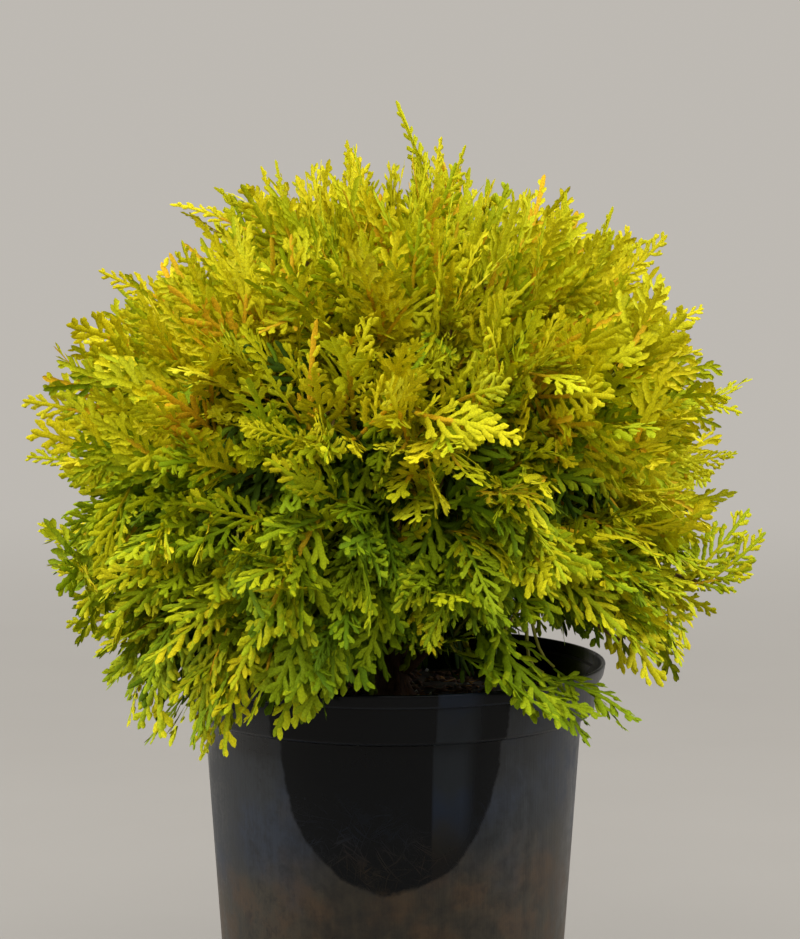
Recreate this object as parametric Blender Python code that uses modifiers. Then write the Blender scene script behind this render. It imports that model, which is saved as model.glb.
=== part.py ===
"""Potted thuja: a young globe-shaped golden thuja in a black nursery pot.

Frame: origin at the centre of the pot's flat underside, +Z up, -Y towards the
front of the plant, +X to the right.  All sizes are in metres.
"""
import math
import random

import bmesh
import bpy
from mathutils import Matrix, Vector, noise

MM = 0.001

# ---------------------------------------------------------------- pot sizes
POT_HEIGHT = 168.0 * MM
POT_LIP_RADIUS = 84.6 * MM
POT_LIP_HEIGHT = 5.6 * MM
POT_BAND_TOP_RADIUS = 82.4 * MM
POT_BAND_FOOT_RADIUS = 80.4 * MM
POT_BAND_HEIGHT = 14.6 * MM
POT_BODY_TOP_RADIUS = 75.2 * MM
POT_BASE_RADIUS = 65.0 * MM
POT_WALL = 1.5 * MM
POT_FLOOR = 2.4 * MM
POT_HEEL = 3.0 * MM
POT_STEPS = 46
DRAIN_COUNT = 6
DRAIN_RADIUS = 6.0 * MM
GAP = 0.3 * MM

# --------------------------------------------------------------- soil sizes
SOIL_TOP = 152.0 * MM
SOIL_UNEVEN = 1.8 * MM
SOIL_STEPS = 26

# -------------------------------------------------------------- trunk sizes
TRUNK_RADIUS = 5.2 * MM
TRUNK_FLARE = 3.6 * MM
TRUNK_TIP_RADIUS = 1.3 * MM
TRUNK_TIP_Z = 303.5 * MM
TRUNK_LEAN_X = 2.6 * MM
TRUNK_LEAN_Y = 3.4 * MM
TRUNK_SWAY = 2.2 * MM
TRUNK_RINGS = 12

# -------------------------------------------------------------- bough sizes
BOUGH_RADIUS = 2.5 * MM
BOUGH_TIP_RADIUS = 1.25 * MM
BOUGH_RINGS = 5
BOUGH_FLARE = 0.55 * MM

# -------------------------------------------------------------- crown sizes
CROWN_CENTRE = Vector((1.0, 0.0, 262.0)) * MM
CROWN_FLOOR_Z = 170.0 * MM
MASS_GAP = 0.9 * MM
MASS_INNER = 0.40

# Reach of the crown from its centre by height angle, for the right-hand side
# (+X) and the left-hand side (-X); other sides lie between the two.
REACH_RIGHT = ((-70, 112), (-50, 132), (-37, 147), (-28, 144), (-17, 133),
               (-5, 140), (5, 144), (20, 133), (35, 132), (50, 123), (65, 117),
               (90, 114))
REACH_LEFT = ((-70, 118), (-50, 146), (-35, 152), (-20, 152), (-5, 149),
              (5, 149), (20, 137), (35, 127), (50, 125), (65, 121), (90, 114))

# Rings of foliage masses: ring name, height angle, half-width, half-height,
# then the azimuth and plain name of every mass in the ring.
RINGS = (
    ("upper", 47.0, 45.0, 39.0,
     ((270, "front"), (342, "right"), (54, "back_right"),
      (126, "back_left"), (198, "left"))),
    ("middle", 9.0, 51.0, 40.0,
     ((270, "front"), (321, "front_right"), (13, "right"),
      (64, "back_right"), (116, "back_left"), (167, "left"),
      (219, "front_left"))),
    ("lower", -29.0, 50.0, 40.0,
     ((296, "front_right"), (347, "right"), (39, "back_right"), (90, "back"),
      (141, "back_left"), (193, "left"), (244, "front_left"))),
)

# Hanging masses that fold over the pot rim: name, azimuth, distance from the
# pot axis, middle height, half-width along the rim, half-depth, half-height.
DROOPS = (
    ("left", 202, 101, 173, 35, 14, 30),
    ("front_left", 243, 99, 176, 37, 14, 26),
    ("front_right", 308, 99, 175, 30, 13, 28),
    ("back", 84, 99, 176, 36, 13, 25),
)

SEED = 41


# ------------------------------------------------------------------ scene
for _ob in list(bpy.data.objects):
    bpy.data.objects.remove(_ob, do_unlink=True)

PLANT = bpy.data.collections.new("Potted thuja")
bpy.context.scene.collection.children.link(PLANT)
CUTTERS = bpy.data.collections.new("Cutters")
bpy.context.scene.collection.children.link(CUTTERS)


def material(name, colour, roughness, metallic=0.0):
    mat = bpy.data.materials.new(name)
    mat.use_nodes = True
    bsdf = mat.node_tree.nodes["Principled BSDF"]
    bsdf.inputs["Base Color"].default_value = (*colour, 1.0)
    bsdf.inputs["Roughness"].default_value = roughness
    bsdf.inputs["Metallic"].default_value = metallic
    mat.diffuse_color = (*colour, 1.0)
    mat.roughness = roughness
    return mat


def add_object(name, mesh, mat, smooth):
    ob = bpy.data.objects.new(name, mesh)
    PLANT.objects.link(ob)
    mesh.materials.clear()
    if mat is not None:
        mesh.materials.append(mat)
    for poly in mesh.polygons:
        poly.use_smooth = smooth
        poly.material_index = 0
    return ob


def screw(ob, steps):
    mod = ob.modifiers.new("Turn", "SCREW")
    mod.axis = "Z"
    mod.angle = 2.0 * math.pi
    mod.steps = steps
    mod.render_steps = steps
    mod.use_merge_vertices = True
    mod.merge_threshold = 0.00001
    mod.use_smooth_shade = True
    mod.use_normal_calculate = True
    return mod


def applied(ob):
    """The object's mesh with its modifiers applied, as a new plain mesh."""
    depsgraph = bpy.context.evaluated_depsgraph_get()
    mesh = bpy.data.meshes.new_from_object(ob.evaluated_get(depsgraph))
    ob.modifiers.clear()
    old = ob.data
    ob.data = mesh
    if old.users == 0:
        bpy.data.meshes.remove(old)
    return mesh


def profile_mesh(name, points, closed):
    mesh = bpy.data.meshes.new(name)
    bm = bmesh.new()
    verts = [bm.verts.new((r, 0.0, z)) for r, z in points]
    for a, b in zip(verts, verts[1:]):
        bm.edges.new((a, b))
    if closed:
        bm.edges.new((verts[-1], verts[0]))
    bm.to_mesh(mesh)
    bm.free()
    return mesh


def tidy(bm, weld):
    bmesh.ops.remove_doubles(bm, verts=bm.verts, dist=weld)
    bmesh.ops.dissolve_degenerate(bm, edges=bm.edges, dist=weld)
    bmesh.ops.recalc_face_normals(bm, faces=bm.faces)


def lerp_table(table, x):
    if x <= table[0][0]:
        return table[0][1]
    for (x0, y0), (x1, y1) in zip(table, table[1:]):
        if x <= x1:
            return y0 + (y1 - y0) * (x - x0) / (x1 - x0)
    return table[-1][1]


# -------------------------------------------------------------------- pot
def body_radius(z):
    """Outer radius of the pot's body at height z, under the band."""
    top = POT_HEIGHT - POT_LIP_HEIGHT - POT_BAND_HEIGHT
    return POT_BASE_RADIUS + (POT_BODY_TOP_RADIUS - POT_BASE_RADIUS) * z / top


def build_pot(mat):
    lip_z = POT_HEIGHT - POT_LIP_HEIGHT
    band_z = lip_z - POT_BAND_HEIGHT
    round_r = 1.1 * MM
    outer = [
        (POT_LIP_RADIUS - 1.0 * MM, POT_HEIGHT),
        (POT_LIP_RADIUS - 0.2 * MM, POT_HEIGHT - 0.5 * MM),
        (POT_LIP_RADIUS, POT_HEIGHT - 1.4 * MM),
        (POT_LIP_RADIUS - 0.9 * MM, lip_z + 0.5 * MM),
        (POT_BAND_TOP_RADIUS, lip_z - 0.1 * MM),
        (POT_BAND_FOOT_RADIUS, band_z + 2.0 * MM),
        (POT_BAND_FOOT_RADIUS - round_r, band_z + 0.4 * MM),
        (POT_BODY_TOP_RADIUS + 1.4 * MM, band_z - 0.4 * MM),
        (body_radius(band_z - 2.2 * MM), band_z - 2.2 * MM),
        (body_radius(POT_HEEL), POT_HEEL),
        (POT_BASE_RADIUS - 0.9 * MM, 0.8 * MM),
        (POT_BASE_RADIUS - POT_HEEL, 0.0),
        (0.0, 0.0),
    ]
    inner = [
        (0.0, POT_FLOOR),
        (POT_BASE_RADIUS - POT_HEEL - POT_WALL, POT_FLOOR),
        (body_radius(POT_HEEL + POT_FLOOR) - POT_WALL, POT_HEEL + POT_FLOOR),
        (body_radius(band_z - 2.6 * MM) - POT_WALL, band_z - 2.6 * MM),
        (POT_BAND_FOOT_RADIUS - POT_WALL - 0.9 * MM, band_z + 2.2 * MM),
        (POT_BAND_TOP_RADIUS - POT_WALL, lip_z - 0.4 * MM),
        (POT_LIP_RADIUS - POT_WALL - 0.8 * MM, lip_z + 1.2 * MM),
        (POT_LIP_RADIUS - POT_WALL - 0.3 * MM, POT_HEIGHT - 0.4 * MM),
    ]
    mesh = profile_mesh("pot", outer + inner, True)
    # The closing edge between the two points on the axis is not part of the
    # wall, so the profile stays open there.
    bm = bmesh.new()
    bm.from_mesh(mesh)
    for edge in list(bm.edges):
        if all(abs(v.co.x) < 1e-9 for v in edge.verts):
            bm.edges.remove(edge)
    bm.to_mesh(mesh)
    bm.free()
    pot = add_object("pot", mesh, None, True)
    screw(pot, POT_STEPS)
    mesh = applied(pot)
    bm = bmesh.new()
    bm.from_mesh(mesh)
    tidy(bm, 0.00001)
    bm.to_mesh(mesh)
    bm.free()

    # Drain holes through the corner of wall and floor.
    cutter_mesh = bpy.data.meshes.new("drain_holes")
    bm = bmesh.new()
    for k in range(DRAIN_COUNT):
        az = 2.0 * math.pi * (k + 0.5) / DRAIN_COUNT
        turn = (Matrix.Rotation(az, 4, "Z")
                @ Matrix.Translation((POT_BASE_RADIUS - 1.0 * MM, 0.0, 3.5 * MM))
                @ Matrix.Rotation(math.radians(62.0), 4, "Y"))
        bmesh.ops.create_cone(bm, cap_ends=True, segments=12,
                              radius1=DRAIN_RADIUS, radius2=DRAIN_RADIUS,
                              depth=26.0 * MM, matrix=turn)
    bmesh.ops.recalc_face_normals(bm, faces=bm.faces)
    bm.to_mesh(cutter_mesh)
    bm.free()
    cutter = bpy.data.objects.new("drain_holes_cutter", cutter_mesh)
    CUTTERS.objects.link(cutter)
    cutter.hide_render = True
    cutter.display_type = "WIRE"
    mod = pot.modifiers.new("Drain holes", "BOOLEAN")
    mod.operation = "DIFFERENCE"
    mod.solver = "EXACT"
    mod.object = cutter
    bpy.context.view_layer.update()
    mesh = applied(pot)
    mesh.materials.clear()
    mesh.materials.append(mat)
    for poly in mesh.polygons:
        poly.material_index = 0
        poly.use_smooth = True
    mesh.set_sharp_from_angle(angle=math.radians(38.0))
    return pot


# ------------------------------------------------------------------- soil
def build_soil(mat):
    band_z = POT_HEIGHT - POT_LIP_HEIGHT - POT_BAND_HEIGHT
    top_r = POT_BAND_FOOT_RADIUS - POT_WALL - 0.9 * MM - 1.2 * MM
    side = [
        (top_r, SOIL_TOP),
        (top_r, band_z + 3.4 * MM),
        (body_radius(band_z - 2.6 * MM) - POT_WALL - 1.3 * GAP,
         band_z - 2.6 * MM),
        (body_radius(POT_HEEL + POT_FLOOR) - POT_WALL - GAP,
         POT_HEEL + POT_FLOOR + GAP),
        (POT_BASE_RADIUS - POT_HEEL - POT_WALL - GAP, POT_FLOOR + GAP),
        (0.0, POT_FLOOR + GAP),
    ]
    rings = [12.0, 28.0, 45.0, 62.0]
    top = [(0.0, SOIL_TOP)] + [(r * MM, SOIL_TOP) for r in rings]
    mesh = profile_mesh("soil", top + side, False)
    soil = add_object("soil", mesh, None, True)
    screw(soil, SOIL_STEPS)
    mesh = applied(soil)
    bm = bmesh.new()
    bm.from_mesh(mesh)
    tidy(bm, 0.00001)
    for v in bm.verts:
        r = math.hypot(v.co.x, v.co.y)
        if abs(v.co.z - SOIL_TOP) < 1e-6 and r > 14.0 * MM:
            n = noise.noise(Vector((v.co.x * 45.0, v.co.y * 45.0, 3.1)))
            n += 0.5 * noise.noise(Vector((v.co.x * 120.0, v.co.y * 120.0, 8.4)))
            v.co.z += SOIL_UNEVEN * n
    bmesh.ops.recalc_face_normals(bm, faces=bm.faces)
    bm.to_mesh(mesh)
    bm.free()
    mesh.materials.clear()
    mesh.materials.append(mat)
    for poly in mesh.polygons:
        poly.material_index = 0
        poly.use_smooth = True
    mesh.set_sharp_from_angle(angle=math.radians(50.0))
    return soil


# ------------------------------------------------------------------ limbs
def trunk_point(t):
    """Centre line of the trunk; t = 0 at the soil, 1 at the tip."""
    z = SOIL_TOP + GAP + t * (TRUNK_TIP_Z - SOIL_TOP - GAP)
    sway = math.sin(t * math.pi * 1.7) * TRUNK_SWAY
    return Vector((TRUNK_LEAN_X * t - sway, TRUNK_LEAN_Y * t * t + 0.6 * sway, z))


def trunk_radius(t):
    base = TRUNK_RADIUS + (TRUNK_TIP_RADIUS - TRUNK_RADIUS) * t ** 0.85
    return base + TRUNK_FLARE * math.exp(-t * 26.0)


def trunk_t_at(z):
    return (z - SOIL_TOP - GAP) / (TRUNK_TIP_Z - SOIL_TOP - GAP)


def build_limb(name, points, radii, sides, mat):
    """A tapering limb made as a bevelled curve with flat ends."""
    curve = bpy.data.curves.new(name, "CURVE")
    curve.dimensions = "3D"
    curve.bevel_mode = "ROUND"
    curve.bevel_depth = 1.0 * MM
    curve.bevel_resolution = sides
    curve.use_fill_caps = True
    curve.twist_mode = "MINIMUM"
    spline = curve.splines.new("POLY")
    spline.points.add(len(points) - 1)
    for pt, co, r in zip(spline.points, points, radii):
        pt.co = (*co, 1.0)
        pt.radius = r / (1.0 * MM)
    ob = bpy.data.objects.new(name + "_curve", curve)
    PLANT.objects.link(ob)
    bpy.context.view_layer.update()
    depsgraph = bpy.context.evaluated_depsgraph_get()
    evaluated = ob.evaluated_get(depsgraph)
    mesh = bpy.data.meshes.new_from_object(evaluated)
    world = ob.matrix_world.copy()
    bpy.data.objects.remove(ob, do_unlink=True)
    bpy.data.curves.remove(curve)
    mesh.transform(world)
    mesh.name = name
    bm = bmesh.new()
    bm.from_mesh(mesh)
    tidy(bm, 0.00001)
    bm.to_mesh(mesh)
    bm.free()
    limb = add_object(name, mesh, mat, True)
    mesh.set_sharp_from_angle(angle=math.radians(60.0))
    return limb


def build_trunk(mat):
    ts = [(k / (TRUNK_RINGS - 1)) ** 1.5 for k in range(TRUNK_RINGS)]
    points = [trunk_point(t) for t in ts]
    # the first two rings stand square on the soil, so the flat cut is level
    points[1] = Vector((points[0].x, points[0].y, points[1].z))
    radii = [trunk_radius(t) for t in ts]
    return build_limb("trunk", points, radii, 3, mat)


def bezier(p0, p1, p2, p3, t):
    s = 1.0 - t
    return (p0 * s ** 3 + p1 * (3 * s * s * t) + p2 * (3 * s * t * t)
            + p3 * t ** 3)


# ----------------------------------------------------------------- masses
def direction(az, el):
    a, e = math.radians(az), math.radians(el)
    return Vector((math.cos(a) * math.cos(e), math.sin(a) * math.cos(e),
                   math.sin(e)))


def crown_reach(d):
    """Distance from the crown's centre to its outline in direction d."""
    flat = math.hypot(d.x, d.y)
    el = math.degrees(math.atan2(d.z, flat))
    side = 0.5 + 0.5 * (d.x / flat if flat > 1e-6 else 0.0)
    side = side * side * (3.0 - 2.0 * side)
    right = lerp_table(REACH_RIGHT, el)
    left = lerp_table(REACH_LEFT, el)
    return (left + (right - left) * side) * MM


def fractal(p, scale, seed):
    q = p / (scale * MM) + Vector((seed * 7.13, seed * 3.71, seed * 5.29))
    return 0.66 * noise.noise(q) + 0.34 * noise.noise(q * 2.3)


class Mass:
    """One mass of foliage: an uneven lump along its own axis."""

    def __init__(self, name, centre, axis, sizes, seed, up=None,
                 rough=0.16, limit=True, levels=3, keep=0.8):
        self.name = "foliage_" + name
        self.centre = centre
        self.axis = axis.normalized()
        self.sizes = sizes
        self.seed = seed
        self.rough = rough
        self.limit = limit
        self.levels = levels
        self.keep = keep
        self.up = up or Vector((0.0, 0.0, 1.0))
        self.planes = []
        self.bough = None

    def frame(self):
        side = self.up.cross(self.axis)
        if side.length < 1e-4:
            side = Vector((1.0, 0.0, 0.0))
        side.normalize()
        return self.axis, side, self.axis.cross(side).normalized()

    def raw(self):
        bm = bmesh.new()
        bmesh.ops.create_icosphere(bm, subdivisions=self.levels, radius=1.0)
        ax, side, top = self.frame()
        a, b, c = (s * MM for s in self.sizes)
        for v in bm.verts:
            d = v.co.normalized()
            p = self.centre + ax * (d.x * a) + side * (d.y * b) + top * (d.z * c)
            n = fractal(p, 21.0, self.seed)
            p = self.centre + (p - self.centre) * (1.0 + 2.0 * self.rough * n)
            if self.limit:
                out = p - CROWN_CENTRE
                dist = out.length
                if dist > 1e-6:
                    lim = crown_reach(out / dist)
                    wave = 0.5 + 0.9 * fractal(p, 17.0, self.seed + 0.5)
                    lim *= 0.925 + 0.085 * max(0.0, min(1.0, wave + 0.15))
                    if dist > lim:
                        p = CROWN_CENTRE + out * (lim / dist)
            v.co = p
        bmesh.ops.recalc_face_normals(bm, faces=bm.faces)
        if self.keep < 1.0:
            thin(bm, self.keep)
        return bm


def thin(bm, keep):
    """Thin the faces of a lump out to the given share."""
    mesh = bpy.data.meshes.new("thin")
    bm.to_mesh(mesh)
    ob = bpy.data.objects.new("thin", mesh)
    CUTTERS.objects.link(ob)
    mod = ob.modifiers.new("Thin", "DECIMATE")
    mod.ratio = keep
    bpy.context.view_layer.update()
    mesh = applied(ob)
    bm.clear()
    bm.from_mesh(mesh)
    bpy.data.objects.remove(ob, do_unlink=True)
    bpy.data.meshes.remove(mesh)


def cut(bm, co, no):
    """Keep what lies behind the plane and close the cut flat."""
    geom = list(bm.verts) + list(bm.edges) + list(bm.faces)
    bmesh.ops.bisect_plane(bm, geom=geom, dist=0.00002, plane_co=co,
                           plane_no=no, clear_outer=True)
    open_edges = [e for e in bm.edges if e.is_boundary]
    if open_edges:
        bmesh.ops.holes_fill(bm, edges=open_edges, sides=0)


def finish_mass(bm):
    bmesh.ops.triangulate(bm, faces=bm.faces[:], ngon_method="EAR_CLIP")
    tidy(bm, 0.00012)
    loose = [v for v in bm.verts if not v.link_faces]
    bmesh.ops.delete(bm, geom=loose, context="VERTS")
    bmesh.ops.triangulate(bm, faces=bm.faces[:])
    bmesh.ops.recalc_face_normals(bm, faces=bm.faces)


def plan_masses():
    rng = random.Random(SEED)
    masses = []
    up = direction(0, 90)
    top_reach = crown_reach(up)
    masses.append(Mass("crown_top", CROWN_CENTRE + up * (top_reach * 0.66), up,
                       (42.0, 46.0, 45.0), 1.0, up=Vector((0, 1, 0))))
    masses[-1].ring = "top"
    for ring, el, half_w, half_h, members in RINGS:
        for k, (az, where) in enumerate(members):
            az2 = az + rng.uniform(-3.0, 3.0)
            el2 = el + rng.uniform(-3.0, 3.0)
            d = direction(az2, el2)
            reach = crown_reach(d)
            mass = Mass(ring + "_" + where, CROWN_CENTRE + d * (reach * 0.64),
                        d, (reach / MM * 0.40,
                            half_w * rng.uniform(0.95, 1.06),
                            half_h * rng.uniform(0.95, 1.06)),
                        2.0 + len(masses))
            mass.ring = ring
            masses.append(mass)
    for name, az, dist, z, half_w, half_d, half_h in DROOPS:
        d = direction(az, 0)
        centre = Vector((d.x * dist, d.y * dist, z)) * MM
        lean = (Vector((0, 0, 1)) + d * -0.25).normalized()
        mass = Mass("droop_" + name, centre, lean,
                    (half_h, half_w, half_d), 40.0 + len(masses),
                    up=d, rough=0.14, limit=False, keep=0.5)
        mass.ring = "droop"
        masses.append(mass)
    tip = Mass("top_tip", Vector((2.4, -1.0, 374.0)) * MM,
               Vector((-0.16, 0.0, 1.0)), (19.0, 9.5, 7.0), 77.0,
               up=Vector((0, 1, 0)), rough=0.05, limit=False, levels=2,
               keep=1.0)
    tip.ring = "outlier"
    tip.anchor = Vector((2.4, -1.0, 330.0)) * MM
    masses.append(tip)
    out = Mass("right_outlier", Vector((135.5, -10.0, 218.0)) * MM,
               Vector((0.42, -0.05, 0.9)), (17.5, 11.0, 7.0), 81.0,
               up=Vector((0, 1, 0)), rough=0.08, limit=False, levels=2,
               keep=1.0)
    out.ring = "outlier"
    out.anchor = Vector((85.0, -10.0, 216.0)) * MM
    masses.append(out)
    return masses


def weight(mass):
    return {"droop": 0.62}.get(mass.ring, 1.0)


def plan_cuts(masses):
    """Flat cuts between neighbours, towards the stem and above the pot."""
    for i, a in enumerate(masses):
        for b in masses[i + 1:]:
            if "outlier" in (a.ring, b.ring):
                continue
            line = b.centre - a.centre
            dist = line.length
            no = line / dist
            share = weight(a) / (weight(a) + weight(b))
            mid = a.centre + no * (dist * share)
            a.planes.append((mid - no * (MASS_GAP / 2.0), no))
            b.planes.append((mid + no * (MASS_GAP / 2.0), -no))
    for m in masses:
        if m.ring == "outlier":
            continue
        if m.ring == "droop":
            m.planes.append((Vector((0, 0, 144.0 * MM)), Vector((0, 0, -1))))
            continue
        inner = MASS_INNER * crown_reach(m.axis)
        m.planes.append((CROWN_CENTRE + m.axis * inner, -m.axis))
        if m.ring == "lower":
            m.planes.append((Vector((0, 0, CROWN_FLOOR_Z)),
                             Vector((0, 0, -1))))


def stand_off(mass, built):
    """Cut a stray tuft so that it starts just outside the crown."""
    for ob in built.values():
        near = Vector(mass.anchor)
        no = (mass.centre - near).normalized()
        best = None
        for v in ob.data.vertices:
            arm = v.co - near
            along = arm.dot(no)
            if (arm - no * along).length < 17.0 * MM and along > 0.0:
                best = along if best is None else max(best, along)
        if best is not None:
            mass.planes.append((near + no * (best + MASS_GAP), -no))


def build_masses(masses, mats):
    rim_cutter_mesh = bpy.data.meshes.new("rim_clearance")
    bm = bmesh.new()
    clear = 0.8 * MM
    depth = 120.0 * MM
    top = POT_HEIGHT + clear
    bmesh.ops.create_cone(
        bm, cap_ends=True, segments=64,
        radius1=POT_LIP_RADIUS + clear + 0.4 * MM,
        radius2=POT_LIP_RADIUS + clear + 0.4 * MM, depth=depth,
        matrix=Matrix.Translation((0.0, 0.0, top - depth / 2.0)))
    bm.to_mesh(rim_cutter_mesh)
    bm.free()
    cutter = bpy.data.objects.new("rim_clearance_cutter", rim_cutter_mesh)
    CUTTERS.objects.link(cutter)
    cutter.hide_render = True
    cutter.display_type = "WIRE"

    built = {}
    for m in masses:
        if m.ring == "outlier":
            stand_off(m, built)
        bm = m.raw()
        for co, no in m.planes:
            cut(bm, co, no)
        finish_mass(bm)
        mesh = bpy.data.meshes.new(m.name)
        bm.to_mesh(mesh)
        bm.free()
        ob = add_object(m.name, mesh, None, True)
        if m.ring == "droop":
            mod = ob.modifiers.new("Clear of the rim", "BOOLEAN")
            mod.operation = "DIFFERENCE"
            mod.solver = "EXACT"
            mod.object = cutter
            bpy.context.view_layer.update()
            mesh = applied(ob)
            bm = bmesh.new()
            bm.from_mesh(mesh)
            finish_mass(bm)
            bm.to_mesh(mesh)
            bm.free()
        mesh = ob.data
        mesh.materials.clear()
        mesh.materials.append(mats[m.name])
        for poly in mesh.polygons:
            poly.material_index = 0
            poly.use_smooth = True
        mesh.set_sharp_from_angle(angle=math.radians(48.0))
        built[m.name] = ob
    return built


# ----------------------------------------------------------------- boughs
def hit_distance(ob, start, ray):
    ok, co, _no, _i = ob.ray_cast(start, ray)
    return (co - start).length if ok else None


def build_boughs(masses, built, mat):
    """One bough for every ringed mass, from the trunk to the mass."""
    rng = random.Random(SEED + 5)
    start_z = {"upper": (214.0, 232.0), "middle": (186.0, 206.0),
               "lower": (163.0, 180.0)}
    made = []
    for ring, _el, _w, _h, members in RINGS:
        low, high = start_z[ring]
        ring_masses = [m for m in masses if m.ring == ring]
        order = list(range(len(ring_masses)))
        rng.shuffle(order)
        for k, m in enumerate(ring_masses):
            z = (low + (high - low) * order[k] / (len(order) - 1)) * MM
            t = trunk_t_at(z)
            core = trunk_point(t)
            aim = CROWN_CENTRE + m.axis * (MASS_INNER * crown_reach(m.axis))
            flat = Vector((aim.x - core.x, aim.y - core.y, 0.0)).normalized()
            rise = {"upper": 0.80, "middle": 0.75, "lower": 0.62}[ring]
            leave = (flat + Vector((0, 0, rise))).normalized()
            r0 = BOUGH_RADIUS * {"upper": 0.86, "middle": 1.0,
                                 "lower": 1.0}[ring]
            r0 += BOUGH_FLARE
            clear = trunk_radius(t) + r0 * leave.z + 0.5 * MM
            start = core + flat * clear
            end_dir = m.axis
            # the far end stops short of the mass's inner face
            p1 = start + leave * ((aim - start).length * 0.38)
            back = (end_dir + Vector((0, 0, 0.35))).normalized()
            if ring == "upper":
                back = (end_dir + Vector((0, 0, 0.1))).normalized()
            p2 = aim - back * ((aim - start).length * 0.30)
            probe = hit_distance(built[m.name], p2, (aim - p2).normalized())
            stop = aim
            if probe is not None:
                stop = p2 + (aim - p2).normalized() * probe
            tip_r = BOUGH_TIP_RADIUS
            stop = stop - (aim - p2).normalized() * (0.7 * MM + tip_r * 0.9)
            ts = [k2 / (BOUGH_RINGS - 1) for k2 in range(BOUGH_RINGS)]
            points = [bezier(start, p1, p2, stop, s) for s in ts]
            radii = [(r0 - BOUGH_FLARE) + (tip_r - r0 + BOUGH_FLARE) * s
                     + BOUGH_FLARE * math.exp(-s * 9.0) for s in ts]
            name = "bough_" + m.name.replace("foliage_", "")
            made.append(build_limb(name, points, radii, 1, mat))
    return made


# ---------------------------------------------------------------- colours
POT_MAT = material("pot_black_plastic", (0.030, 0.030, 0.033), 0.36)
SOIL_MAT = material("soil_potting_mix", (0.060, 0.038, 0.024), 0.95)
TRUNK_MAT = material("trunk_bark", (0.200, 0.094, 0.048), 0.85)
BOUGH_MAT = material("bough_bark", (0.270, 0.120, 0.045), 0.80)
FOLIAGE = {
    "top": material("foliage_top_gold_green", (0.440, 0.410, 0.020), 0.62),
    "upper": material("foliage_upper_gold_green", (0.400, 0.380, 0.018), 0.62),
    "middle": material("foliage_middle_lime", (0.330, 0.340, 0.016), 0.64),
    "lower": material("foliage_lower_green", (0.220, 0.260, 0.014), 0.66),
    "droop": material("foliage_droop_lime", (0.300, 0.330, 0.016), 0.64),
    "outlier": material("foliage_tip_gold", (0.450, 0.400, 0.022), 0.60),
}


def main():
    build_pot(POT_MAT)
    build_soil(SOIL_MAT)
    build_trunk(TRUNK_MAT)
    masses = plan_masses()
    plan_cuts(masses)
    mats = {m.name: FOLIAGE[m.ring] for m in masses}
    built = build_masses(masses, mats)
    bpy.context.view_layer.update()
    build_boughs(masses, built, BOUGH_MAT)


main()
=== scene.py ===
"""Looks of the potted thuja: foliage grown on the limbs, bark, pot, soil, stage.

Everything is in the row frame: origin at the centre of the pot's underside,
+Z up, -Y to the front.  Lengths in this script are millimetres until a mesh
is made, where they become metres.
"""

import math  # noqa: E402
import random  # noqa: E402

import bmesh  # noqa: E402
import bpy  # noqa: E402
import numpy as np  # noqa: E402
from mathutils import Matrix, Vector, noise  # noqa: E402


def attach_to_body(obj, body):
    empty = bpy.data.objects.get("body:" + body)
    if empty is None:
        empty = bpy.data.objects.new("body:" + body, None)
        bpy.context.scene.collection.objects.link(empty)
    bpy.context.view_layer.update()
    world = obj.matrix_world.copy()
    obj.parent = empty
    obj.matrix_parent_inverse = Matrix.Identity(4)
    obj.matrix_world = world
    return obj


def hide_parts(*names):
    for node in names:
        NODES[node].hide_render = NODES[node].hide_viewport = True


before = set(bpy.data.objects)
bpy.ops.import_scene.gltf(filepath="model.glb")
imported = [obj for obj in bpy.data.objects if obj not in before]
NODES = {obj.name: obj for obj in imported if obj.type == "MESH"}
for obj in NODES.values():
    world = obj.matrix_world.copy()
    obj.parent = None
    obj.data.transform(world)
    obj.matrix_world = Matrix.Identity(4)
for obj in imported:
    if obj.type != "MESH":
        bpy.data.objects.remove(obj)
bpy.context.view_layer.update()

MM = 0.001
SEED = 20260
rng = np.random.default_rng(SEED)

# ------------------------------------------------------------------ sizes
POT_HEIGHT = 168.0
POT_LIP_RADIUS = 84.6
POT_LIP_HEIGHT = 5.6
POT_BAND_TOP_RADIUS = 82.4
POT_BAND_FOOT_RADIUS = 80.4
POT_BAND_HEIGHT = 14.6
POT_BODY_TOP_RADIUS = 75.2
POT_BASE_RADIUS = 65.0
POT_WALL = 1.5
POT_FLOOR = 2.4
POT_HEEL = 3.0
DRAIN_COUNT = 6
DRAIN_RADIUS = 6.0
SOIL_TOP = 152.0

TRUNK_RADIUS = 5.2
TRUNK_FLARE = 3.6
TRUNK_TIP_RADIUS = 1.3
TRUNK_TIP_Z = 303.5
TRUNK_LEAN_X = 2.6
TRUNK_LEAN_Y = 3.4
TRUNK_SWAY = 2.2

CROWN = np.array([1.0, 0.0, 260.2])
REACH_RIGHT = ((-70, 112), (-50, 132), (-37, 147), (-28, 144), (-17, 133),
               (-5, 140), (5, 144), (20, 133), (35, 132), (50, 123), (65, 117),
               (90, 114))
REACH_LEFT = ((-70, 118), (-50, 146), (-35, 152), (-20, 152), (-5, 149),
              (5, 149), (20, 137), (35, 127), (50, 125), (65, 121), (90, 114))

# ------------------------------------------------------------ foliage rule
TIP_COUNT = 620            # twigs that reach the crown's outline
TWIG_SPRAYS = 3            # side sprays on a twig, under its end spray
INNER_SPRAYS = 7           # shaded sprays on each branch
TIPS_PER_BRANCH = 6.0
FAN = 0.90                 # how far the sprays of a branch spread sideways
FLAT_SHARE = 0.42          # share of them that lie along the crown's outside
HEM_BRANCHES = 44          # drooping branches round the foot of the crown
HEM_TIPS = 270             # drooping twigs on them
END_SPRAY = (44.0, 60.0)
SIDE_SPRAY = (31.0, 44.0)
LEAF_WIDTH = 2.0
FINGER_WIDTH = 2.55
MAX_PIECE = 190000

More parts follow.
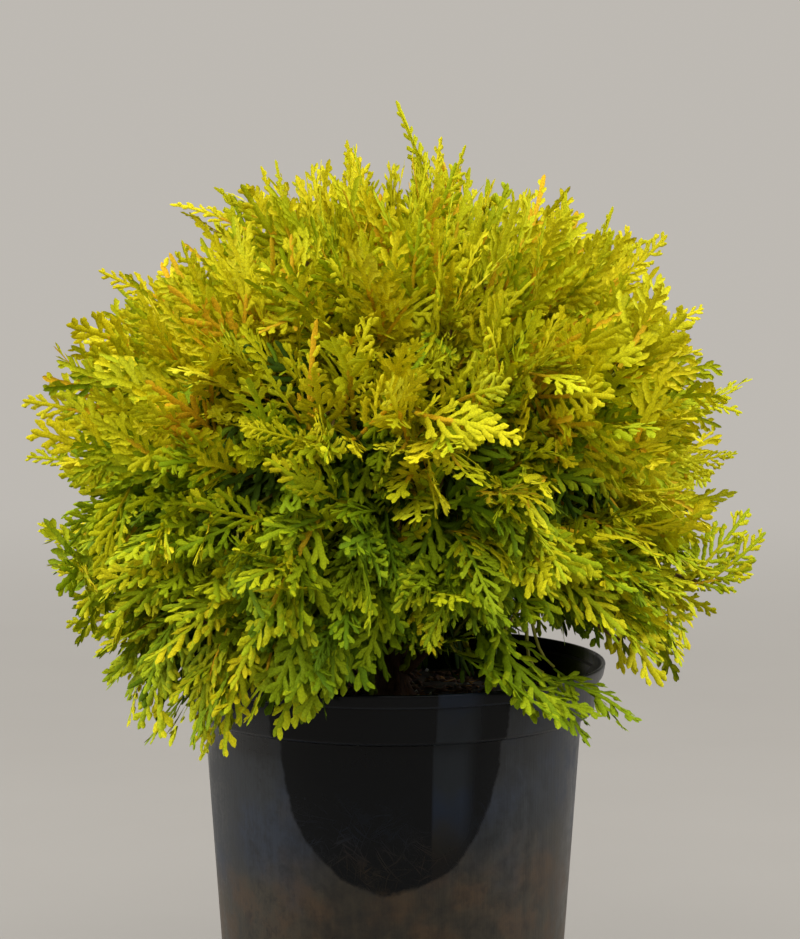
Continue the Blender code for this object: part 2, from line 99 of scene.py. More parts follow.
# The hem of drooping sprays round the pot, by azimuth in degrees: distance
# of the lowest tips from the axis, and their height.
HEM = ((-180, 104, 164), (-148, 110, 146), (-136, 110, 147), (-127, 108, 146),
       (-117, 103, 154), (-107, 99, 166), (-97, 98, 170), (-91, 98, 186),
       (-80, 98, 192), (-68, 98, 192), (-60, 101, 184), (-54, 103, 147),
       (-47, 109, 147), (-39, 121, 153), (-33, 114, 178), (-27, 116, 165),
       (-15, 116, 164), (0, 110, 168), (25, 103, 182), (65, 97, 184),
       (80, 99, 164), (100, 101, 152), (125, 98, 160), (150, 102, 158),
       (180, 104, 164))
# Long sprays that lean out over the rim at the front right: azimuth of the
# middle, half width, turn sideways and dip in degrees.
LOBE = (-46.5, 9.0, 33.0, 35.0)
LOBE_TIPS = 8
# A few more drooping tips over the rim at the front left: azimuth of the
# middle, step and count.
FILL = (-125.0, 6.0, 3)
# Opening between the underside of the crown and the rim on the right: from
# and to x, then from and to the height, in mm, with its fall from front to back.
OPENING = (43.0, 83.0, 161.0, 179.0, 0.155)
# Where the front of the crown hangs over and shades what grows under it:
# azimuth, height angle and half width in degrees.
SHADED = (-84.0, -34.0, 34.0)
# Gaps in the front that show the shaded inside: azimuth and height angle of
# the middle, and half width in degrees.
GAPS = ((-109, 7, 3.8), (-96, 11, 3.4), (-80, 13, 3.6), (-71, 1, 3.8),
        (-80, -14, 3.5), (-102, -17, 3.2), (-114, -9, 3.2))

# Stray sprays that stand out of the outline: place of the tip (x, y, z) and
# the way the spray points (x, y, z), then its length.
STRAYS = (
    ((1.0, -4.0, 391.0), (-0.30, 0.0, 1.0), 40),
    ((19.0, -10.0, 377.0), (0.05, -0.1, 1.0), 38),
    ((29.0, 5.0, 374.0), (0.25, 0.0, 1.0), 36),
    ((-18.0, 0.0, 376.0), (0.10, 0.0, 1.0), 34),
    ((-46.0, -6.0, 368.0), (-0.25, 0.0, 1.0), 34),
    ((-52.0, 10.0, 366.0), (-0.55, 0.0, 1.0), 34),
    ((-70.0, 0.0, 358.0), (-0.9, 0.0, 0.7), 36),
    ((-88.0, 0.0, 350.0), (-1.0, 0.0, 0.55), 38),
    ((-116.0, 0.0, 325.0), (-1.0, 0.0, 0.45), 38),
    ((-126.0, 5.0, 300.0), (-1.0, 0.0, 0.2), 36),
    ((-146.0, -6.0, 274.0), (-1.0, 0.0, 0.25), 36),
    ((-146.0, 4.0, 251.0), (-1.0, 0.0, -0.05), 36),
    ((-140.0, -10.0, 226.0), (-1.0, 0.0, 0.10), 36),
    ((-132.0, -14.0, 207.0), (-1.0, 0.0, -0.25), 36),
    ((-128.0, -20.0, 188.0), (-1.0, 0.0, -0.45), 36),
    ((86.0, -4.0, 350.0), (0.45, 0.0, 1.0), 38),
    ((68.0, -4.0, 356.0), (0.12, 0.0, 1.0), 34),
    ((47.0, -4.0, 356.0), (0.10, 0.0, 1.0), 34),
    ((108.0, 0.0, 339.0), (1.0, 0.0, 0.75), 38),
    ((122.0, -8.0, 310.0), (1.0, 0.0, 0.5), 36),
    ((142.0, -4.0, 282.0), (1.0, 0.0, 0.45), 38),
    ((137.0, -12.0, 269.0), (1.0, 0.0, 0.02), 36),
    ((137.0, 0.0, 252.0), (1.0, 0.0, 0.15), 36),
    ((127.0, -16.0, 190.0), (0.9, 0.0, -0.35), 36),
    ((114.0, -20.0, 174.0), (0.7, 0.0, -0.7), 36),
)


# ------------------------------------------------------------------ helpers
def unit(v):
    v = np.asarray(v, float)
    n = np.linalg.norm(v, axis=-1, keepdims=True)
    return v / np.maximum(n, 1e-12)


def direction(az, el):
    a, e = math.radians(az), math.radians(el)
    return np.array([math.cos(a) * math.cos(e), math.sin(a) * math.cos(e),
                     math.sin(e)])


def body_radius(z):
    """Outer radius of the pot's body at height z."""
    top = POT_HEIGHT - POT_LIP_HEIGHT - POT_BAND_HEIGHT
    return POT_BASE_RADIUS + (POT_BODY_TOP_RADIUS - POT_BASE_RADIUS) * z / top


def hits_pot(v):
    """Share of points that lie in the pot's wall or in the soil."""
    rho, z = np.hypot(v[:, 0], v[:, 1]), v[:, 2]
    lip_z = POT_HEIGHT - POT_LIP_HEIGHT
    band_z = lip_z - POT_BAND_HEIGHT
    outer = np.where(z > lip_z, POT_LIP_RADIUS + 0.4, np.where(
        z > band_z, POT_BAND_TOP_RADIUS + 0.4, body_radius(z) + 0.6))
    inner = np.where(z > band_z, POT_BAND_FOOT_RADIUS - POT_WALL - 0.6,
                     body_radius(z) - POT_WALL - 0.6)
    wall = (z < POT_HEIGHT + 0.4) & (rho < outer) & (rho > inner)
    soil = (rho <= inner) & (z < SOIL_TOP + 1.6)
    return float((wall | soil).mean())


def crown_reach(d):
    """Distance from the crown's centre to its outline, for unit vectors d."""
    d = np.atleast_2d(d)
    flat = np.hypot(d[:, 0], d[:, 1])
    el = np.degrees(np.arctan2(d[:, 2], flat))
    side = 0.5 + 0.5 * d[:, 0] / np.maximum(flat, 1e-6)
    side = np.where(flat > 1e-6, side, 0.5)
    side = side * side * (3.0 - 2.0 * side)
    r = np.array(REACH_RIGHT, float)
    l = np.array(REACH_LEFT, float)
    right = np.interp(el, r[:, 0], r[:, 1])
    left = np.interp(el, l[:, 0], l[:, 1])
    return left + (right - left) * side


def bezier(p0, p1, p2, p3, t):
    t = np.asarray(t, float)[:, None]
    s = 1.0 - t
    return (p0 * s ** 3 + p1 * (3 * s * s * t) + p2 * (3 * s * t * t)
            + p3 * t ** 3)


def rotate_about(v, axis, angle):
    axis = unit(axis)
    c, s = math.cos(angle), math.sin(angle)
    return v * c + np.cross(axis, v) * s + axis * np.dot(axis, v) * (1 - c)


def any_side(u):
    ref = np.array([0.0, 0.0, 1.0])
    if abs(np.dot(ref, u)) > 0.92:
        ref = np.array([1.0, 0.0, 0.0])
    return unit(np.cross(ref, u))


def make_mesh(name, verts, faces, normals=None, smooth=True, strip=None):
    """A mesh object from arrays; verts in millimetres, faces all triangles."""
    mesh = bpy.data.meshes.new(name)
    nv, nf = len(verts), len(faces)
    mesh.vertices.add(nv)
    mesh.vertices.foreach_set("co", (np.asarray(verts, np.float32) * MM).ravel())
    mesh.loops.add(nf * 3)
    mesh.loops.foreach_set("vertex_index", np.asarray(faces, np.int32).ravel())
    mesh.polygons.add(nf)
    mesh.polygons.foreach_set("loop_start",
                              np.arange(0, nf * 3, 3, dtype=np.int32))
    mesh.update(calc_edges=True)
    if smooth:
        mesh.polygons.foreach_set("use_smooth", np.ones(nf, bool))
    if strip is not None:
        att = mesh.attributes.new("strip", "FLOAT_VECTOR", "POINT")
        att.data.foreach_set("vector", np.asarray(strip, np.float32).ravel())
    if normals is not None:
        mesh.normals_split_custom_set_from_vertices(
            np.asarray(normals, np.float32))
    ob = bpy.data.objects.new(name, mesh)
    bpy.context.scene.collection.objects.link(ob)
    return ob


# ---------------------------------------------------------------- materials
def new_material(name):
    mat = bpy.data.materials.new(name)
    mat.use_nodes = True
    nt = mat.node_tree
    return mat, nt, nt.nodes["Principled BSDF"]


def math_node(nt, operation, a, b=None, c=None, clamp=False):
    """A math node; inputs are numbers or sockets."""
    node = nt.nodes.new("ShaderNodeMath")
    node.operation = operation
    node.use_clamp = clamp
    for i, value in enumerate((a, b, c)):
        if value is None:
            continue
        if isinstance(value, (int, float)):
            node.inputs[i].default_value = value
        else:
            nt.links.new(value, node.inputs[i])
    return node.outputs["Value"]


def map_node(nt, value, f0, f1, t0, t1, smooth=False):
    node = nt.nodes.new("ShaderNodeMapRange")
    if smooth:
        node.interpolation_type = "SMOOTHSTEP"
    node.inputs["From Min"].default_value = f0
    node.inputs["From Max"].default_value = f1
    node.inputs["To Min"].default_value = t0
    node.inputs["To Max"].default_value = t1
    nt.links.new(value, node.inputs["Value"])
    return node.outputs["Result"]


def grey_ramp(nt, value, stops):
    node = nt.nodes.new("ShaderNodeValToRGB")
    el = node.color_ramp.elements
    while len(el) < len(stops):
        el.new(0.5)
    for e, (pos, grey) in zip(el, stops):
        e.position = pos
        e.color = (grey, grey, grey, 1.0)
    nt.links.new(value, node.inputs["Fac"])
    return node.outputs["Color"]


def leaf_material(name, colour, rough=0.62, spread=0.08, spec=0.08):
    """Scale leaves in overlapping rows: one base colour, a painted shade at the
    foot of each scale and towards the edges, a seam beside the middle row,
    and slow unevenness of ripeness.  "strip" is (mm along the branchlet,
    -1..1 across, chance)."""
    mat, nt, bsdf = new_material(name)
    n = nt.nodes
    att = n.new("ShaderNodeAttribute")
    att.attribute_type = "GEOMETRY"
    att.attribute_name = "strip"
    sep = n.new("ShaderNodeSeparateXYZ")
    nt.links.new(att.outputs["Vector"], sep.inputs["Vector"])
    across = math_node(nt, "ABSOLUTE", sep.outputs["Y"])
    row = map_node(nt, across, 0.30, 0.42, 0.0, 0.5)
    phase = math_node(nt, "MULTIPLY_ADD", sep.outputs["X"], 1.0 / 1.55, row)
    phase = math_node(nt, "MULTIPLY_ADD", across, -0.42, phase)
    t = math_node(nt, "FRACT", math_node(nt, "ADD", phase, 20.0))
    # painted shade: each scale darker at its foot, under the scale before it, and the
    # branchlet darker towards its edges, as on a round twig
    scale = grey_ramp(nt, t, ((0.0, 0.66), (0.20, 0.86), (0.72, 0.96),
                              (1.0, 0.91)))
    seam = map_node(nt, math_node(nt, "ABSOLUTE", math_node(
        nt, "SUBTRACT", across, 0.36)), 0.0, 0.14, 0.87, 1.0)
    edge = map_node(nt, across, 0.62, 1.0, 1.0, 0.90)
    shade = math_node(nt, "MULTIPLY", scale, seam)
    shade = math_node(nt, "MULTIPLY", shade, edge)
    # slow unevenness: over the plant, and from spray to spray
    tc = n.new("ShaderNodeTexCoord")
    slow = n.new("ShaderNodeTexNoise")
    slow.inputs["Scale"].default_value = 42.0
    slow.inputs["Detail"].default_value = 2.0
    nt.links.new(tc.outputs["Object"], slow.inputs["Vector"])
    mixed = math_node(nt, "MULTIPLY_ADD", sep.outputs["Z"], 0.42,
                      math_node(nt, "MULTIPLY", slow.outputs["Fac"], 0.58))
    ramp = n.new("ShaderNodeValToRGB")
    gain = 1.09
    lo = [c * gain * (1.0 - spread * 1.2) for c in colour]
    hi = [min(1.0, c * gain * (1.0 + spread)) for c in colour]
    ramp.color_ramp.elements[0].position = 0.28
    ramp.color_ramp.elements[0].color = (lo[0] * 0.92, lo[1] * 1.03, lo[2], 1.0)
    ramp.color_ramp.elements[1].position = 0.72
    ramp.color_ramp.elements[1].color = (hi[0] * 1.03, hi[1] * 0.97, hi[2], 1.0)
    nt.links.new(mixed, ramp.inputs["Fac"])
    mul = n.new("ShaderNodeVectorMath")
    mul.operation = "SCALE"
    nt.links.new(ramp.outputs["Color"], mul.inputs["Vector"])
    nt.links.new(shade, mul.inputs["Scale"])
    nt.links.new(mul.outputs["Vector"], bsdf.inputs["Base Color"])
    height = math_node(nt, "MULTIPLY_ADD", math_node(
        nt, "MULTIPLY", across, across), -0.9, shade)
    bump = n.new("ShaderNodeBump")
    bump.inputs["Strength"].default_value = 0.45
    bump.inputs["Distance"].default_value = 0.0004
    nt.links.new(height, bump.inputs["Height"])
    nt.links.new(bump.outputs["Normal"], bsdf.inputs["Normal"])
    bsdf.inputs["Roughness"].default_value = rough
    bsdf.inputs["Specular IOR Level"].default_value = spec
    return mat


TONES = {
    "axis": (0.770, 0.465, 0.012),
    "bright": (0.705, 0.655, 0.018),
    "yellow": (0.705, 0.640, 0.009),
    "olive": (0.610, 0.555, 0.006),
    "lime": (0.455, 0.510, 0.007),
    "moss": (0.262, 0.348, 0.005),
    "green": (0.140, 0.225, 0.005),
    "deep": (0.045, 0.085, 0.004),
    "orange": (0.800, 0.560, 0.016),
}


# ------------------------------------------------------------------- sprays
class Strips:
    """Collects flat scale-leaved strips of one spray in its own plane."""

    def __init__(self):
        self.v, self.n, self.f, self.tone, self.uv = [], [], [], [], []
        self.count = 0

    def strip(self, pts, width, roll, tone, base=0.66, tip=0.72):
        """One branchlet along pts: rings with a scalloped edge and a tip."""
        pts = np.asarray(pts, float)
        k = len(pts)
        tan = unit(np.gradient(pts, axis=0))
        up = np.array([0.0, 0.0, 1.0])
        side = unit(np.cross(up, tan))
        nor = unit(np.cross(tan, side))
        c, s = math.cos(roll), math.sin(roll)
        side, nor = side * c + nor * s, nor * c - side * s
        ring = np.arange(k - 1)
        w = np.ones(k - 1)
        w[0] = base
        w[-1] = tip
        zig = 0.14 * np.where(ring % 2 == 0, 1.0, -1.0)
        zig[0] = zig[-1] = 0.0
        half = 0.5 * width * w
        left = pts[:-1] + side[:-1] * (half * (1.0 + zig))[:, None]
        right = pts[:-1] - side[:-1] * (half * (1.0 - zig))[:, None]
        lean = 0.50
        vs = np.empty((2 * (k - 1) + 1, 3))
        ns = np.empty_like(vs)
        vs[0:-1:2], vs[1:-1:2], vs[-1] = left, right, pts[-1]
        ns[0:-1:2] = nor[:-1] + side[:-1] * lean
        ns[1:-1:2] = nor[:-1] - side[:-1] * lean
        ns[-1] = nor[-1] + tan[-1] * 0.4
        fs = []
        for i in range(k - 2):
            a = 2 * i
            fs.append((a, a + 1, a + 3))
            fs.append((a, a + 3, a + 2))
        last = 2 * (k - 2)
        fs.append((last, last + 1, 2 * (k - 1)))
        self.v.append(vs)
        self.n.append(unit(ns))
        self.f.append(np.array(fs, int) + self.count)
        self.tone.append(np.full(len(fs), tone))
        uv = np.zeros((len(vs), 3))
        run = spaced(pts)
        uv[0:-1:2, 0] = uv[1:-1:2, 0] = run[:-1]
        uv[-1, 0] = run[-1]
        uv[0:-1:2, 1], uv[1:-1:2, 1] = -1.0, 1.0
        self.uv.append(uv)
        self.count += len(vs)

    def arrays(self):
        return (np.vstack(self.v), np.vstack(self.n), np.vstack(self.f),
                np.concatenate(self.tone), np.vstack(self.uv))


def path(start, heading, length, step, bend, lift, r, wobble=0.03):
    """Points along a branchlet that turns by bend over its length."""
    n = max(2, int(round(length / step)))
    hs = heading + bend * np.linspace(0.0, 1.0, n + 1)
    hs = hs + r.normal(0.0, wobble, n + 1)
    seg = length / n
    xy = np.zeros((n + 1, 2))
    xy[1:, 0] = np.cumsum(np.cos(hs[:-1]) * seg)
    xy[1:, 1] = np.cumsum(np.sin(hs[:-1]) * seg)
    z = np.linspace(0.0, 1.0, n + 1) * lift * length
    pts = np.column_stack([start[0] + xy[:, 0], start[1] + xy[:, 1],
                           start[2] + z])
    # a short last step makes the blunt tip
    tan = unit(pts[-1] - pts[-2])
    return np.vstack([pts[:-1], pts[-1] - tan * min(1.0, 0.46 * seg), pts[-1]])


def spaced(pts):
    return np.concatenate([[0.0], np.cumsum(
        np.linalg.norm(np.diff(pts, axis=0), axis=1))])


def along(pts, d, q):
    return np.array([np.interp(q, d, pts[:, i]) for i in range(3)])


def heading_at(pts, d, q):
    a = along(pts, d, max(0.0, q - 0.7))
    b = along(pts, d, min(d[-1], q + 0.7))
    return math.atan2(b[1] - a[1], b[0] - a[0])


def make_spray(r, length, breadth, pitch, family="feather",
               width=LEAF_WIDTH, angle=(44.0, 33.0), lean=0.0, step=2.2):
    """A flat spray: axis and alternate branchlets that curve forward beside
    it.  "feather": the branchlets carry short lobes all along; "finger": long
    plain ones, forked near their ends; "plain": none.

    Tones: 0 the older axis, 1 the body, 2 the ends."""
    s = Strips()
    sweep = r.normal(0.0, 0.18)
    axis = path((0.0, 0.0, 0.0), -0.5 * sweep, length, 2.5, sweep, 0.0, r, 0.03)
    d = spaced(axis)
    half = max(3, int(len(axis) * r.uniform(0.42, 0.62)))
    s.strip(axis[:half + 1], width * 0.80, r.normal(0.0, 0.10), 0, 0.75, 0.95)
    s.strip(axis[half - 1:], width * 0.96, r.normal(0.0, 0.10), 1, 0.85)
    pos = length * r.uniform(0.05, 0.11)
    sv = 1 if r.random() < 0.5 else -1
    k = 0
    while pos < length - 2.4:
        f = pos / length
        if f < 0.22:
            env = 0.66 + 0.34 * f / 0.22
        else:
            env = 1.0 - 0.86 * ((f - 0.22) / 0.78) ** 1.2
        l = breadth * env * r.uniform(0.76, 1.18)
        l *= 1.0 + lean * sv * (1.0 if lean * sv > 0 else 0.7)
        ang = math.radians(angle[0] + (angle[1] - angle[0]) * f
                           + r.normal(0.0, 4.5))
        lift = r.normal(0.0, 0.12)
        run = heading_at(axis, d, pos)
        start = along(axis, d, pos) + np.array(
            [-math.sin(run) * sv * 0.26 * width,
             math.cos(run) * sv * 0.26 * width, 0.12 * (1 if k % 2 else -1)])
        head = run + sv * ang
        if l > 2.2 and r.random() > 0.05:
            lat = path(start, head, l, step if l > 5 else 1.6,
                       -sv * r.uniform(0.18, 0.48) * min(1.0, l / 10.0),
                       lift, r, 0.05)
            s.strip(lat, width * r.uniform(0.90, 1.04), r.normal(0.0, 0.24),
                    1 if l > 6.5 and f < 0.60 else 2)
            dl = spaced(lat)
            lobes = []
            if family == "feather" and l > 5.0:
                q = r.uniform(2.4, 3.6)
                while q < l - 2.0:
                    lobes.append((q, min(3.9, 2.2 + 0.16 * (l - q))))
                    q += 2.75 * r.uniform(0.86, 1.16)
            elif family == "finger" and l > 5.4:
                q = l * r.uniform(0.30, 0.50)
                while q < l - 2.6:
                    lobes.append((q, min(7.0, (l - q) * 0.78)))
                    q += r.uniform(3.4, 5.0)
            ls = sv if r.random() < 0.75 else -sv
            for q, ll in lobes:
                ll = max(2.2, ll * r.uniform(0.84, 1.14))
                p = along(lat, dl, q) + np.array(
                    [0, 0, 0.14 * (1 if r.random() < 0.5 else -1)])
                h2 = heading_at(lat, dl, q) + ls * math.radians(
                    36.0 - 8.0 * q / l + r.normal(0.0, 5.0))
                lob = path(p, h2, ll, 2.1, -ls * r.uniform(0.08, 0.36),
                           lift + r.normal(0.0, 0.12), r)
                s.strip(lob, width * r.uniform(0.86, 0.98),
                        r.normal(0.0, 0.30), 1 if f < 0.26 else 2, 0.8)
                ls = -ls
        pos += pitch * r.uniform(0.84, 1.16)
        sv = -sv
        k += 1
    v, n, fc, tone, uv = s.arrays()
    # a slight cup across the spray and ripple along it
    v[:, 2] += (r.normal(0.0, 0.010) * v[:, 1] ** 2
                + 0.7 * np.sin(v[:, 0] * 0.14 + r.uniform(0, 6)))
    return {"v": v, "n": n, "f": fc, "tone": tone, "uv": uv,
            "length": length, "tris": len(fc)}


def bend_spray(v, n, k_out, k_side, twist):
    """Bends a spray out of its plane, sideways and about its axis."""
    v, n = v.copy(), n.copy()
    x = v[:, 0].copy()
    if abs(twist) > 1e-6:
        a = twist * x
        c, s = np.cos(a), np.sin(a)
        v[:, 1], v[:, 2] = v[:, 1] * c - v[:, 2] * s, v[:, 1] * s + v[:, 2] * c
        n[:, 1], n[:, 2] = n[:, 1] * c - n[:, 2] * s, n[:, 1] * s + n[:, 2] * c
    for k, j in ((k_out, 2), (k_side, 1)):
        if abs(k) < 1e-6:
            continue
        a = k * v[:, 0]
        c, s = np.cos(a), np.sin(a)
        off = v[:, j].copy()
        v[:, 0] = s / k - off * s
        v[:, j] = (1.0 - c) / k + off * c
        nx, nj = n[:, 0].copy(), n[:, j].copy()
        n[:, 0] = nx * c - nj * s
        n[:, j] = nx * s + nj * c
    return v, n


class Bucket:
    """Triangles of one tone, gathered for joined pieces."""

    def __init__(self):
        self.v, self.n, self.f, self.uv = [], [], [], []
        self.nv, self.nf = 0, 0

    def add(self, v, n, f, uv=None):
        if uv is not None:
            self.uv.append(uv.astype(np.float32))
        self.v.append(v.astype(np.float32))
        self.n.append(n.astype(np.float32))
        self.f.append(f + self.nv)
        self.nv += len(v)
        self.nf += len(f)


BUCKETS = {}


def pour(tone, v, n, f, uv):
    """Adds part of a spray to its tone's bucket, starting a new piece when
    the last one is full."""
    key = (tone, 0)
    i = 0
    while key in BUCKETS and BUCKETS[key].nf + len(f) > MAX_PIECE:
        i += 1
        key = (tone, i)
    if key not in BUCKETS:
        BUCKETS[key] = Bucket()
    used = np.unique(f)
    remap = np.full(len(v), -1)
    remap[used] = np.arange(len(used))
    BUCKETS[key].add(v[used], n[used], remap[f], uv[used])


SPRAY_COUNT = {"n": 0, "refused": 0}


GAP_DIRS = np.array([direction(az, el) for az, el, _ in GAPS])
GAP_COS = np.cos(np.radians([w for _, _, w in GAPS]))


def fills_gap(v):
    """Whether a spray lies over one of the gaps, near the outside."""
    off = v[::5] - CROWN
    dist = np.linalg.norm(off, axis=1)
    d = unit(off)
    outer = dist > crown_reach(d) * 0.70
    seen = (d @ GAP_DIRS.T > GAP_COS[None, :]).any(axis=1)
    return bool((outer & seen).mean() > 0.15)


def fills_opening(v, leaning):
    """Whether a spray hangs in the opening over the rim on the right; the
    sprays that lean out under it only keep out of its upper part."""
    q = v[::5]
    x0, x1, z0, z1, fall = OPENING
    if leaning:
        z0 += 6.0
    h = q[:, 2] + q[:, 1] * fall
    inside = (q[:, 0] > x0) & (q[:, 0] < x1) & (h > z0) & (h < z1)
    return bool((inside & (np.hypot(q[:, 0], q[:, 1]) < 112.0)).mean() > 0.14)


def shaded(d):
    """How far direction d lies in the shade under the front, 0 to 1."""
    mid = direction(SHADED[0], SHADED[1])
    off = math.degrees(math.acos(max(-1.0, min(1.0, float(np.dot(mid, d))))))
    x = max(0.0, min(1.0, 1.6 * (1.0 - off / SHADED[2])))
    return x * x * (3.0 - 2.0 * x)


def beyond(v, limit):
    """Whether points stand out of the crown's outline times limit."""
    off = v[::7] - CROWN
    dist = np.linalg.norm(off, axis=1)
    return bool((dist > crown_reach(unit(off)) * limit).any())


def place_spray(var, base, u, face, droop, r, palette, scale=1.0, tip_at=None,
                curl=1.0, limit=None, free=False):
    """Sets a spray with its foot at base (or its tip at tip_at), pointing
    along u, its flat side towards face."""
    u = unit(u)
    nrm = face - u * np.dot(face, u)
    if np.linalg.norm(nrm) < 1e-3:
        nrm = np.cross(u, np.array([0.3, 0.8, 0.5]))
    nrm = unit(nrm)
    side = unit(np.cross(nrm, u))
    length = var["length"]
    g = np.array([0.0, 0.0, -1.0])
    k_out = droop * np.dot(g, nrm) / length + r.normal(0.0, 0.22) * curl / length
    k_side = droop * np.dot(g, side) / length + r.normal(0.0, 0.14) * curl / length
    v, n = bend_spray(var["v"], var["n"], k_out, k_side,
                      r.normal(0.0, 0.35) * curl / length)
    rot = np.column_stack([u, side, nrm])
    v = (v * scale) @ rot.T
    n = n @ rot.T
    if tip_at is not None:
        end, _ = bend_spray(np.array([[length, 0.0, 0.0]]),
                            np.array([[0.0, 0.0, 1.0]]), k_out, k_side, 0.0)
        base = tip_at - (end[0] * scale) @ rot.T
    v = v + base
    if hits_pot(v) > 0.0 or (limit is not None and beyond(v, limit)) or (
            v[0, 1] < -50.0 and fills_gap(v)) or (
            fills_opening(v, free)):
        SPRAY_COUNT["refused"] += 1
        return None
    uv = var["uv"].copy()
    uv[:, 2] = r.random()
    for tone_i in range(3):
        m = var["tone"] == tone_i
        if m.any():
            pour(palette[tone_i], v, n, var["f"][m], uv)
    SPRAY_COUNT["n"] += 1
    return base


# -------------------------------------------------------------------- tubes
def tube(points, radii, sides, ripple=None):
    """A tapering tube with parallel frames; closed at both ends."""
    points = np.asarray(points, float)
    k = len(points)
    tan = unit(np.gradient(points, axis=0))
    side = np.empty_like(points)
    side[0] = any_side(tan[0])
    for i in range(1, k):
        s = side[i - 1] - tan[i] * np.dot(side[i - 1], tan[i])
        side[i] = unit(s)
    other = np.cross(tan, side)
    ang = np.linspace(0.0, 2.0 * math.pi, sides, endpoint=False)
    ca, sa = np.cos(ang), np.sin(ang)
    rad = np.asarray(radii, float)[:, None] * np.ones(sides)[None, :]
    if ripple is not None:
        rad = rad * (1.0 + ripple)
    out = side[:, None, :] * ca[None, :, None] + other[:, None, :] * sa[None, :, None]
    v = points[:, None, :] + out * rad[:, :, None]
    v = v.reshape(-1, 3)
    n = out.reshape(-1, 3)
    f = []
    idx = np.arange(k * sides).reshape(k, sides)
    a, b = idx[:-1], np.roll(idx, -1, axis=1)[:-1]
    c, d = idx[1:], np.roll(idx, -1, axis=1)[1:]
    f.append(np.column_stack([a.ravel(), b.ravel(), d.ravel()]))
    f.append(np.column_stack([a.ravel(), d.ravel(), c.ravel()]))
    v = np.vstack([v, points[:1], points[-1:]])
    n = np.vstack([n, -tan[:1], tan[-1:]])
    s0, s1 = k * sides, k * sides + 1
    r0, r1 = idx[0], idx[-1]
    f.append(np.column_stack([np.full(sides, s0), np.roll(r0, -1), r0]))
    f.append(np.column_stack([np.full(sides, s1), r1, np.roll(r1, -1)]))
    return v, n, np.vstack(f)


# ------------------------------------------------------------- limbs of CAD
def node_verts(name):
    me = NODES[name].data
    co = np.zeros(len(me.vertices) * 3)
    me.vertices.foreach_get("co", co)
    return co.reshape(-1, 3) / MM


def trunk_point(t):
    z = SOIL_TOP + 0.3 + t * (TRUNK_TIP_Z - SOIL_TOP - 0.3)
    sway = math.sin(t * math.pi * 1.7) * TRUNK_SWAY
    return np.array([TRUNK_LEAN_X * t - sway, TRUNK_LEAN_Y * t * t + 0.6 * sway,
                     z])


def trunk_radius(t):
    base = TRUNK_RADIUS + (TRUNK_TIP_RADIUS - TRUNK_RADIUS) * t ** 0.85
    return base + TRUNK_FLARE * math.exp(-t * 26.0)


def limb_rings(name):
    """Centre line and radii of a CAD bough, read from its rings."""
    co = np.unique(np.round(node_verts(name), 3), axis=0)
    left = list(range(len(co)))
    rings = []
    while left:
        seed = co[left[0]]
        near = [i for i in left if np.linalg.norm(co[i] - seed) < 6.4]
        rings.append(co[near].mean(0))
        left = [i for i in left if i not in near]
    rings = np.array(rings)
    order = [int(np.argmin(np.hypot(rings[:, 0], rings[:, 1]) + rings[:, 2] * 0.02))]
    rest = [i for i in range(len(rings)) if i not in order]
    while rest:
        last = rings[order[-1]]
        nxt = min(rest, key=lambda i: np.linalg.norm(rings[i] - last))
        order.append(nxt)
        rest.remove(nxt)
    pts = rings[order]
    rad = []
    for p in pts:
        d = np.linalg.norm(co - p, axis=1)
        rad.append(d[d < 6.4].mean())
    return pts, np.array(rad)


def smooth_line(pts, n):
    """Catmull-Rom curve through pts, as n even points."""
    pts = np.asarray(pts, float)
    ext = np.vstack([2 * pts[0] - pts[1], pts, 2 * pts[-1] - pts[-2]])
    out = []
    for i in range(1, len(ext) - 2):
        p0, p1, p2, p3 = ext[i - 1:i + 3]
        for t in np.linspace(0, 1, 12, endpoint=False):
            out.append(0.5 * ((2 * p1) + (p2 - p0) * t
                              + (2 * p0 - 5 * p1 + 4 * p2 - p3) * t * t
                              + (3 * p1 - p0 - 3 * p2 + p3) * t ** 3))
    out.append(ext[-2])
    out = np.array(out)
    d = np.concatenate([[0], np.cumsum(np.linalg.norm(np.diff(out, axis=0), axis=1))])
    s = np.linspace(0, d[-1], n)
    return np.column_stack([np.interp(s, d, out[:, i]) for i in range(3)])


BOUGHS = {}
for _name in sorted(NODES):
    if _name.startswith("bough_"):
        _p, _r = limb_rings(_name)
        _mass = "foliage_" + _name[len("bough_"):]
        BOUGHS[_name] = {"line": smooth_line(_p, 26), "radii": _r,
                         "mass": _mass,
                         "centre": node_verts(_mass).mean(0)}
BOUGHS["trunk"] = {
    "line": np.array([trunk_point(t) for t in np.linspace(0.0, 1.0, 30)]),
    "radii": None, "mass": "foliage_crown_top",
    "centre": node_verts("foliage_crown_top").mean(0)}


# ---------------------------------------------------------------- growth
VARIANTS = {}
_vr = np.random.default_rng(SEED + 1)
for _family, _pitch, _wide in (("feather", (2.9, 3.4), LEAF_WIDTH),
                               ("finger", (3.3, 4.0), FINGER_WIDTH)):
    VARIANTS["end_" + _family] = [
        make_spray(_vr, _vr.uniform(*END_SPRAY), _vr.uniform(14.5, 20.0),
                   _vr.uniform(*_pitch), _family, _wide,
                   lean=_vr.normal(0.0, 0.14))
        for _ in range(20)]
    VARIANTS["side_" + _family] = [
        make_spray(_vr, _vr.uniform(*SIDE_SPRAY), _vr.uniform(10.5, 15.5),
                   _vr.uniform(*_pitch) * 1.05, _family, _wide,
                   lean=_vr.normal(0.0, 0.18))
        for _ in range(20)]
VARIANTS["tiny"] = [make_spray(_vr, _vr.uniform(17.0, 27.0),
                               _vr.uniform(7.5, 11.5), _vr.uniform(3.2, 3.9),
                               "finger", FINGER_WIDTH)
                    for _ in range(12)]
VARIANTS["wisp"] = [make_spray(_vr, _vr.uniform(24.0, 38.0),
                               _vr.uniform(11.0, 17.0), _vr.uniform(4.6, 6.2),
                               "plain", LEAF_WIDTH * 1.05, angle=(24.0, 15.0),
                               step=3.4)
                    for _ in range(14)]
